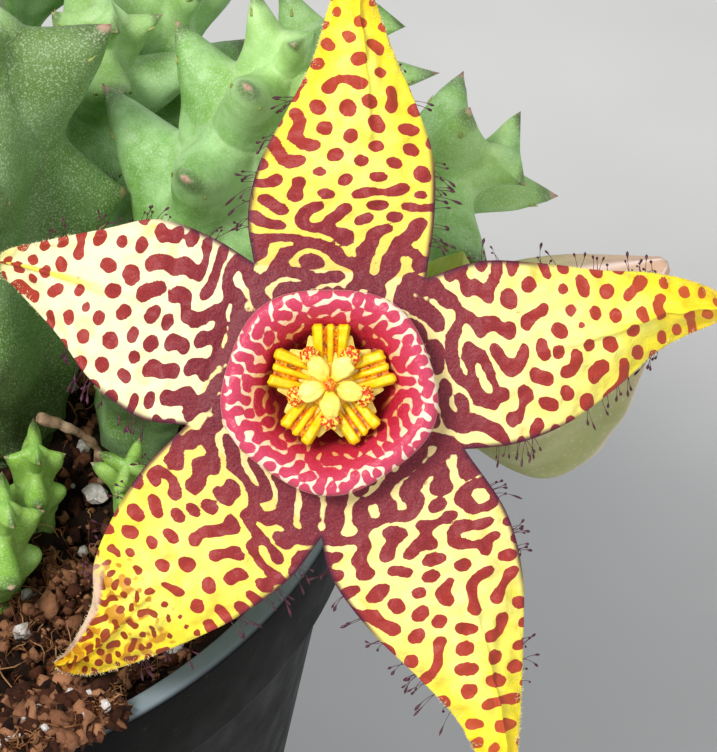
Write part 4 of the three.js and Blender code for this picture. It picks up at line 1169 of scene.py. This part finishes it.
def crown_outer(shape, degrees, seed):
    """A squared lobe with two thick ribs at its sides, a thin one between and stained grooves."""
    along, across = 26, 45
    t = np.linspace(0, 1, along)[:, None]
    w = np.linspace(-1, 1, across)[None]
    half = mix(1.62, 1.95, t)
    beside = np.abs(w)
    thick = smooth(beside, 0.34, 0.5) * (1 - smooth(beside, 0.84, 1.0))
    thin = 1 - smooth(beside, 0.08, 0.25)
    ribs = 0.62 * thick + 0.46 * thin
    ends = smooth(t, 0, 0.15) * (1 - 0.85 * smooth(t, 0.92, 1.0))
    blunt = 0.16 * ripple(np.stack([w * 1.9, w * 0, w * 0 + 3 * seed], -1), 0.8, 80 + seed)
    x = mix(1.6, 6.15 + blunt - 0.3 * (1 - thick) * (1 - 0.6 * thin), t)
    y = w * half * (1 + 0.035 * ripple(np.stack([x, 0 * x + np.sign(w), 0 * x + 5 * seed], -1), 1.2, 84))
    spots = np.stack([x, y, 0 * x + seed], -1)
    z = 0.5 + 1.05 * t + ribs * ends - 0.35 * smooth(beside, 0.9, 1) + 0.07 * ripple(spots, 0.6, 90 + seed)
    top = np.stack([x, y, z], -1)
    low = np.stack([x, y * 0.9, 0 * x - 0.1 + 0.9 * t], -1)
    groove = smooth(beside, 0.12, 0.22) * (1 - smooth(beside, 0.36, 0.48)) + 0 * x
    shell = np.concatenate([top, low[:, ::-1]], 1)
    width = shell.shape[1]
    values = dict(
        cream=0 * shell[..., 0], freckle=0 * shell[..., 0],
        groove=np.concatenate([groove, 0 * groove], 1))
    faces = grid_quads(along, width, wrap=True)[:, ::-1]
    first = np.arange(width)
    last = first + (along - 1) * width
    half_width = np.arange(across - 1)
    ends_faces = []
    for row, flip in ((first, False), (last, True)):
        quad = np.stack([row[place] for place in (
            half_width, half_width + 1, width - 2 - half_width, width - 1 - half_width)], 1)
        ends_faces.append(quad[:, ::-1] if flip else quad)
    on_crown(shape, shell, degrees, [faces, *ends_faces], **values)


def crown_inner(shape, degrees, seed):
    """A plump cream lobe that narrows to the centre, with a freckled lumpy horn at its outer end."""
    points, faces = ball(4)
    x = points[:, 0]
    narrow = mix(0.42, 1.0, smooth(x, -1.05, 0.25))
    body = np.stack([
        1.78 + x * 1.58, points[:, 1] * 1.08 * narrow, 2.5 + points[:, 2] * 0.7 * narrow + 0.12 * x], 1)
    body += unit(points) * (0.09 * ripple(points * 2, 0.8, seed))[:, None]
    cream = smooth(x, -1.0, -0.1) * (0.9 if seed in (0, 2) else 0.6)
    none = 0 * x
    on_crown(shape, body, degrees, faces, cream=cream, freckle=0.4 * smooth(x, 0.55, 1.0), groove=none)
    bumps = 1 + 0.16 * ripple(points * 2, 0.7, seed + 30) + 0.1 * ripple(points * 2, 0.35, seed + 60)
    horn = points * bumps[:, None] * [0.85, 0.95, 0.8] + [3.55, 0, 2.0]
    on_crown(shape, horn, degrees, faces, cream=0.35 + none, freckle=1 + none, groove=none)


def crown_frill(shape, degrees):
    """A pale pointed flap between two outer lobes."""
    outline = np.array([(0, -1.6), (5.2, -1.25), (4.4, 0), (5.2, 1.25), (0, 1.6)], float)
    inner = catmull(outline, np.linspace(0, 1, 25))
    top = np.concatenate([inner, np.full((25, 1), 0.9)], 1)
    low = np.concatenate([inner, np.full((25, 1), 0.2)], 1)
    middle = np.array([[1.5, 0, 1.0], [1.5, 0, 0.2]])
    points = np.concatenate([top, low, middle])
    i = np.arange(25)
    j = (i + 1) % 25
    walls = np.stack([25 + i, 25 + j, j, i], 1)
    lids = np.concatenate([np.stack([i, j, 0 * i + 50], 1), np.stack([25 + j, 25 + i, 0 * i + 51], 1)])
    on_crown(shape, points, degrees, [walls, lids], cream=0.7, freckle=0.15, groove=0.0)


def make_corona(material):
    shape = Shape()
    column = [[[0, 0, z] for z in (-4.1, -3, -1, 1, 2.3)]]
    local = Shape()
    strands(local, column, [1.9, 1.95, 2.05, 2.2, 2.3], 30)
    on_crown(shape, np.concatenate(local.points), 0, local.faces, cream=0.2, freckle=0.4, groove=0.3)
    for k in range(5):
        crown_outer(shape, 90 + 72 * k, k)
        crown_inner(shape, 54 + 72 * k, k)
        crown_frill(shape, 54 + 72 * k)
    points, faces = ball(3)
    angle = np.arctan2(points[:, 1], points[:, 0])
    points_out = 1 + 0.25 * np.cos(5 * (angle - math.radians(90)))
    star = points * [0.62, 0.62, 0.3] * points_out[:, None] + [0, 0, 3.05]
    on_crown(shape, star, 0, faces, cream=0.0, freckle=0.9, groove=0.6)
    piece("crown", shape, [material], ["corona"])


# Stalks, sepals and buds
STALKS = {
    "flower": ([(43, -14.5, ROOT_END), (43, -14.5, 97), (45, -14, 108), (51, -20, 121)], 1.5),
    "bud_large": ([(50.5, -10, ROOT_END), (50.5, -10, 97), (54, -11, 104), (62, -18, 111)], 1.4),
    "bud_small": ([(54.5, -2.5, ROOT_END), (54.5, -2.5, 97), (57.5, -3.5, 104), (65.5, -5, 109)], 1.2),
}
BUDS = {
    "bud_large": dict(
        foot=(71.2, -25.5, 119.6), tip=(92.9, -17.5, 134), radius=10.8,
        fullness=[(0, 0.3), (0.05, 0.62), (0.13, 0.88), (0.28, 1), (0.5, 0.9), (0.7, 0.64), (1, 0.08)]),
    "bud_small": dict(
        foot=(69.2, -5.5, 115.2), tip=(72.4, -7, 126.4), radius=3.4,
        fullness=[(0, 0.45), (0.15, 0.8), (0.45, 1), (0.7, 0.7), (1, 0.08)]),
}
BUD_KEEL = 0.1


def stalk(shape, name, end, direction, **values):
    points, radius = STALKS[name]
    t = np.linspace(0, 1, 40)
    path = catmull([*points, end - 5 * direction, end], t)
    radii = radius * (1 + 0.5 * smooth(t, 0.88, 1)) * (1 + 0.04 * ripple(path, 2.5, 12))
    strands(shape, path[None], radii[None], 20, **values)


def sepals(shape, foot, direction, radius, length, **values):
    side = unit(np.array([1.0, 0, 0]) - direction * direction[0])
    other = np.cross(direction, side)
    t = np.linspace(0, 1, 14)[:, None]
    for k in range(5):
        angle = math.radians(72 * k + 20)
        out = side * math.cos(angle) + other * math.sin(angle)
        ends = [foot + direction * a + out * b for a, b in (
            (-1.2, 0.2), (-0.2, radius), (length * 0.75, radius + length * 0.35))]
        path = (1 - t) ** 2 * ends[0] + 2 * t * (1 - t) * ends[1] + t * t * ends[2]
        strands(shape, path[None], (mix(1.1, 0.12, t[:, 0] ** 1.4))[None], 12, **values)


def make_bud(name, material, green, around, rows):
    bud = BUDS[name]
    foot, tip = np.array(bud["foot"]), np.array(bud["tip"])
    direction = unit(tip - foot)
    side = unit(np.array([1.0, 0, 0]) - direction * direction[0])
    other = np.cross(direction, side)
    s = np.linspace(0, 1, rows)
    angle = 2 * math.pi * np.arange(around) / around
    keel = np.cos(5 * angle)
    sharp = np.maximum(0, keel) ** 6
    fullness = profile_at(bud["fullness"], s)
    radius = bud["radius"] * fullness[:, None] * (1 + BUD_KEEL * (0.8 * keel + 0.2 * sharp))
    ring = side * np.cos(angle)[:, None] + other * np.sin(angle)[:, None]
    points = mix(foot, tip, s[:, None])[:, None] + ring[None] * radius[..., None]
    points += ring[None] * (0.1 * ripple(points, 2.2, 17) * fullness[:, None])[..., None]
    apex = tip + direction * 0.4
    values = dict(
        keel=sharp[None] * smooth(s, 0.1, 0.4)[:, None] * 0.9,
        blush=smooth(s, 0.45, 1.0)[:, None] * 0.8 + 0 * radius)
    shape = Shape()
    count = rows * around
    last = (rows - 1) * around + np.arange(around)
    fans = np.concatenate([
        np.stack([last, np.roll(last, -1), 0 * last + count], 1),
        np.stack([np.roll(np.arange(around), -1), np.arange(around), 0 * last + count + 1], 1)])
    flat = {key: np.r_[(value + 0 * radius).ravel(), 0.5, 0] for key, value in values.items()}
    skin = [grid_quads(rows, around, wrap=True), fans]
    shape.add(np.vstack([points.reshape(-1, 3), apex, foot]), skin, 0, **flat)
    plain = dict(keel=0.0, blush=0.0)
    stalk(shape, name, foot + direction * 1.5, direction, kind=1, **plain)
    sepals(shape, foot, direction, bud["radius"] * 0.45, bud["radius"] * 0.55, kind=1, **plain)
    piece(name + "_skin", shape, [material, green], [name])


def make_calyx(green):
    shape = Shape()
    back = FLOWER_CENTRE - FLOWER_OUT * FLOWER_BACK
    stalk(shape, "flower", back, FLOWER_OUT, keel=0.0)
    sepals(shape, back - FLOWER_OUT, FLOWER_OUT, 5.6, 2.4, keel=0.0)
    piece("calyx", shape, [green], ["flower_stalk"])


# Hairs: dark club-headed ones along the lobes' edges, and pale fuzz towards the tips
def along_edge(points, shares):
    """Points at shares of the way along an edge."""
    where = np.asarray(shares) * (len(points) - 1)
    i = np.clip(where.astype(int), 0, len(points) - 2)
    x = (where - i)[:, None]
    return points[i] * (1 - x) + points[i + 1] * x


CLUB_PROFILE = [(0, 0.045), (0.6, 0.035), (0.7, 0.07), (0.85, 0.17), (0.95, 0.14), (1, 0.03)]


def make_hairs(lobes, dark, pale):
    draw = np.random.default_rng(77)
    clubs, fuzz = Shape(), Shape()
    for top in lobes:
        for edge, inner in ((top[:, 0], top[:, 4]), (top[:, -1], top[:, -5])):
            tufts = draw.uniform(0.08, 0.66, 13)
            shares = np.clip(np.repeat(tufts, 2) + draw.normal(size=26) * 0.008, 0.03, 0.7)
            base = along_edge(edge, shares)
            out = unit(base - along_edge(inner, shares))
            out = unit(out + draw.normal(size=base.shape) * 0.28 + [0, -0.12, -0.1])
            length = draw.uniform(1.0, 2.2, len(base))[:, None, None]
            t = np.linspace(0, 1, 12)[None, :, None]
            droop = draw.normal(size=(len(base), 1, 3)) * 0.22 + [0, -0.15, 0]
            paths = base[:, None] + out[:, None] * length * t + droop * t**2 * length
            club = profile_at(CLUB_PROFILE, t[0, :, 0])
            strands(clubs, placed(paths), club[None] * draw.uniform(0.65, 1.0, (len(base), 1)), 6)
            count = 210
            shares = draw.uniform(0.5, 1.0, count) ** 0.8
            base = along_edge(edge, shares)
            out = unit(base - along_edge(inner, shares))
            base = base - out * draw.uniform(0, 1.1, (count, 1)) ** 2 + [0, 0, 0.02]
            out = unit(out + draw.normal(size=base.shape) * 0.5 + [0, 0, 0.35])
            length = draw.uniform(0.12, 0.36, count)[:, None, None]
            t = np.linspace(0, 1, 3)[None, :, None]
            paths = base[:, None] + out[:, None] * length * t
            strands(fuzz, placed(paths), np.array([[0.03, 0.024, 0.006]]), 3)
    piece("club_hairs", clubs, [dark])
    piece("petal_fuzz", fuzz, [pale])


# A dry twig on the soil by the front stems
def make_twig(material):
    shape = Shape()
    points = [(27.2, -14.8, 110), (30.4, -13.9, 107.6), (33.0, -13.6, 104.6), (33.6, -14.6, 100.4)]
    path = catmull(points, np.linspace(0, 1, 40))
    path += 0.1 * np.stack([ripple(path, 1.2, 5 + k) for k in range(3)], 1)
    radii = 0.5 * (1 + 0.25 * ripple(path, 1.0, 9)) * mix(1.25, 0.8, np.linspace(0, 1, 40))
    strands(shape, path[None], radii[None], 12)
    piece("dry_twig", shape, [material])


# The floor and lights of a plain pale studio, in metres
FLOOR_HALF = 3.0
LIGHT_AIM = (0.055, -0.03, 0.12)
SKY_COLOUR = (0.93, 0.96, 1.0, 1)
SKY_STRENGTH = 0.54


def make_stage():
    corners = [(-1, -1), (1, -1), (1, 1), (-1, 1)]
    mesh = bpy.data.meshes.new("floor")
    mesh.from_pydata([(x * FLOOR_HALF, y * FLOOR_HALF, 0) for x, y in corners], [], [(0, 1, 2, 3)])
    floor = bpy.data.objects.new("floor", mesh)
    bpy.context.scene.collection.objects.link(floor)
    paint = Paint("floor", Roughness=0.8)
    cloud = paint.between(paint.noise(60, 3), 0.3, 0.7)
    paint.colour(paint.blend(cloud, tint(206, 205, 203), tint(214, 213, 211)))
    mesh.materials.append(paint.material)


def make_light(name, place, size, power, colour):
    data = bpy.data.lights.new(name, "AREA")
    data.shape = "DISK"
    data.size = size
    data.energy = power
    data.color = colour
    light = bpy.data.objects.new(name, data)
    bpy.context.scene.collection.objects.link(light)
    light.location = place
    toward = unit(np.array(LIGHT_AIM) - np.array(place, float))
    back = -toward
    right = unit(np.cross([0, 0, 1], back))
    up = np.cross(back, right)
    light.rotation_euler = Matrix(np.stack([right, up, back], 1).tolist()).to_euler()


def make_world():
    world = bpy.data.worlds.new("studio")
    bpy.context.scene.world = world
    world.use_nodes = True
    sky = world.node_tree.nodes["Background"]
    sky.inputs["Color"].default_value = SKY_COLOUR
    sky.inputs["Strength"].default_value = SKY_STRENGTH
    bpy.context.scene.view_settings.view_transform = "Standard"


make_camera()
make_world()
make_stage()
make_light("key", (-0.42, -0.55, 1.05), 0.4, 12, (1.0, 0.98, 0.95))
make_light("fill", (0.8, -0.6, 0.6), 0.7, 2, (0.95, 0.97, 1.0))

make_pot(pot_material())
soil_colours = (tint(24, 12, 8), tint(84, 47, 30), tint(184, 130, 94))
make_soil(soil_material("soil_dark", tint(16, 10, 7), tint(48, 30, 20), tint(96, 62, 40)))
make_grains(
    soil_material("soil_crumb", *soil_colours), perlite_material(),
    soil_material("bark", tint(52, 28, 16), tint(112, 64, 34), tint(172, 118, 72)),
    soil_material("fibre", tint(60, 30, 16), tint(126, 74, 42), tint(206, 156, 106)))
green = stem_material(
    "stem_skin", tint(178, 222, 152), tint(120, 174, 72), tint(208, 232, 184), tint(200, 240, 138))
young = stem_material(
    "young_skin", tint(158, 204, 98), tint(112, 172, 40), tint(176, 214, 128), tint(166, 208, 76))
# The stems in front have the finest skins, and older stems are darker.
near = ("stem_front_left", "stem_middle", "stem_right")
ages = {"stem_front_left": 1.15, "stem_middle": 0.0, "stem_side": 0.5, "stem_near": 0.4, "stem_left": 0.5}
usual_age, shoot_age = 0.25, -0.3
horns = []
for stem in STEMS:
    around, per_level = (96, 22) if stem[0] in near else (60, 12)
    horns += make_stem(stem, green, around, per_level, ages.get(stem[0], usual_age))
for stem in SHOOTS:
    make_stem(stem, young, 72, 22, shoot_age)
make_horns(horns, plain_material("horn", [tint(140, 160, 80), tint(188, 184, 112)], 1.0, [], Roughness=0.5))
marks = Marks()
back = plain_material(
    "petal_back", [tint(196, 190, 110), tint(216, 210, 134), tint(226, 214, 150)],
    4, [(0.6, 0.06)], Roughness=0.55)
lobes = make_corolla(marks, petal_material(), back)
make_corona(corona_material())
stalk_green = plain_material(
    "stalk_green", [tint(112, 150, 60), tint(150, 178, 84), tint(172, 176, 106)],
    3, [(0.5, 0.05)], Roughness=0.5)
make_bud("bud_large", bud_material(), stalk_green, 120, 70)
bud_green = plain_material(
    "bud_green", [tint(150, 176, 60), tint(184, 196, 84), tint(206, 202, 120)],
    2.4, [(0.5, 0.05)], Roughness=0.5)
make_bud("bud_small", bud_green, stalk_green, 60, 40)
make_calyx(stalk_green)
make_hairs(
    lobes,
    plain_material("club_hair", [tint(46, 10, 28), tint(92, 26, 56)], 1.0, [], Roughness=0.4),
    plain_material("fuzz", [tint(240, 228, 150), tint(255, 250, 214)], 1.0, [], Roughness=0.7))
make_twig(plain_material(
    "twig", [tint(96, 70, 52), tint(168, 136, 108), tint(206, 184, 158)], 1.6, [(0.4, 0.15)], Roughness=0.8))
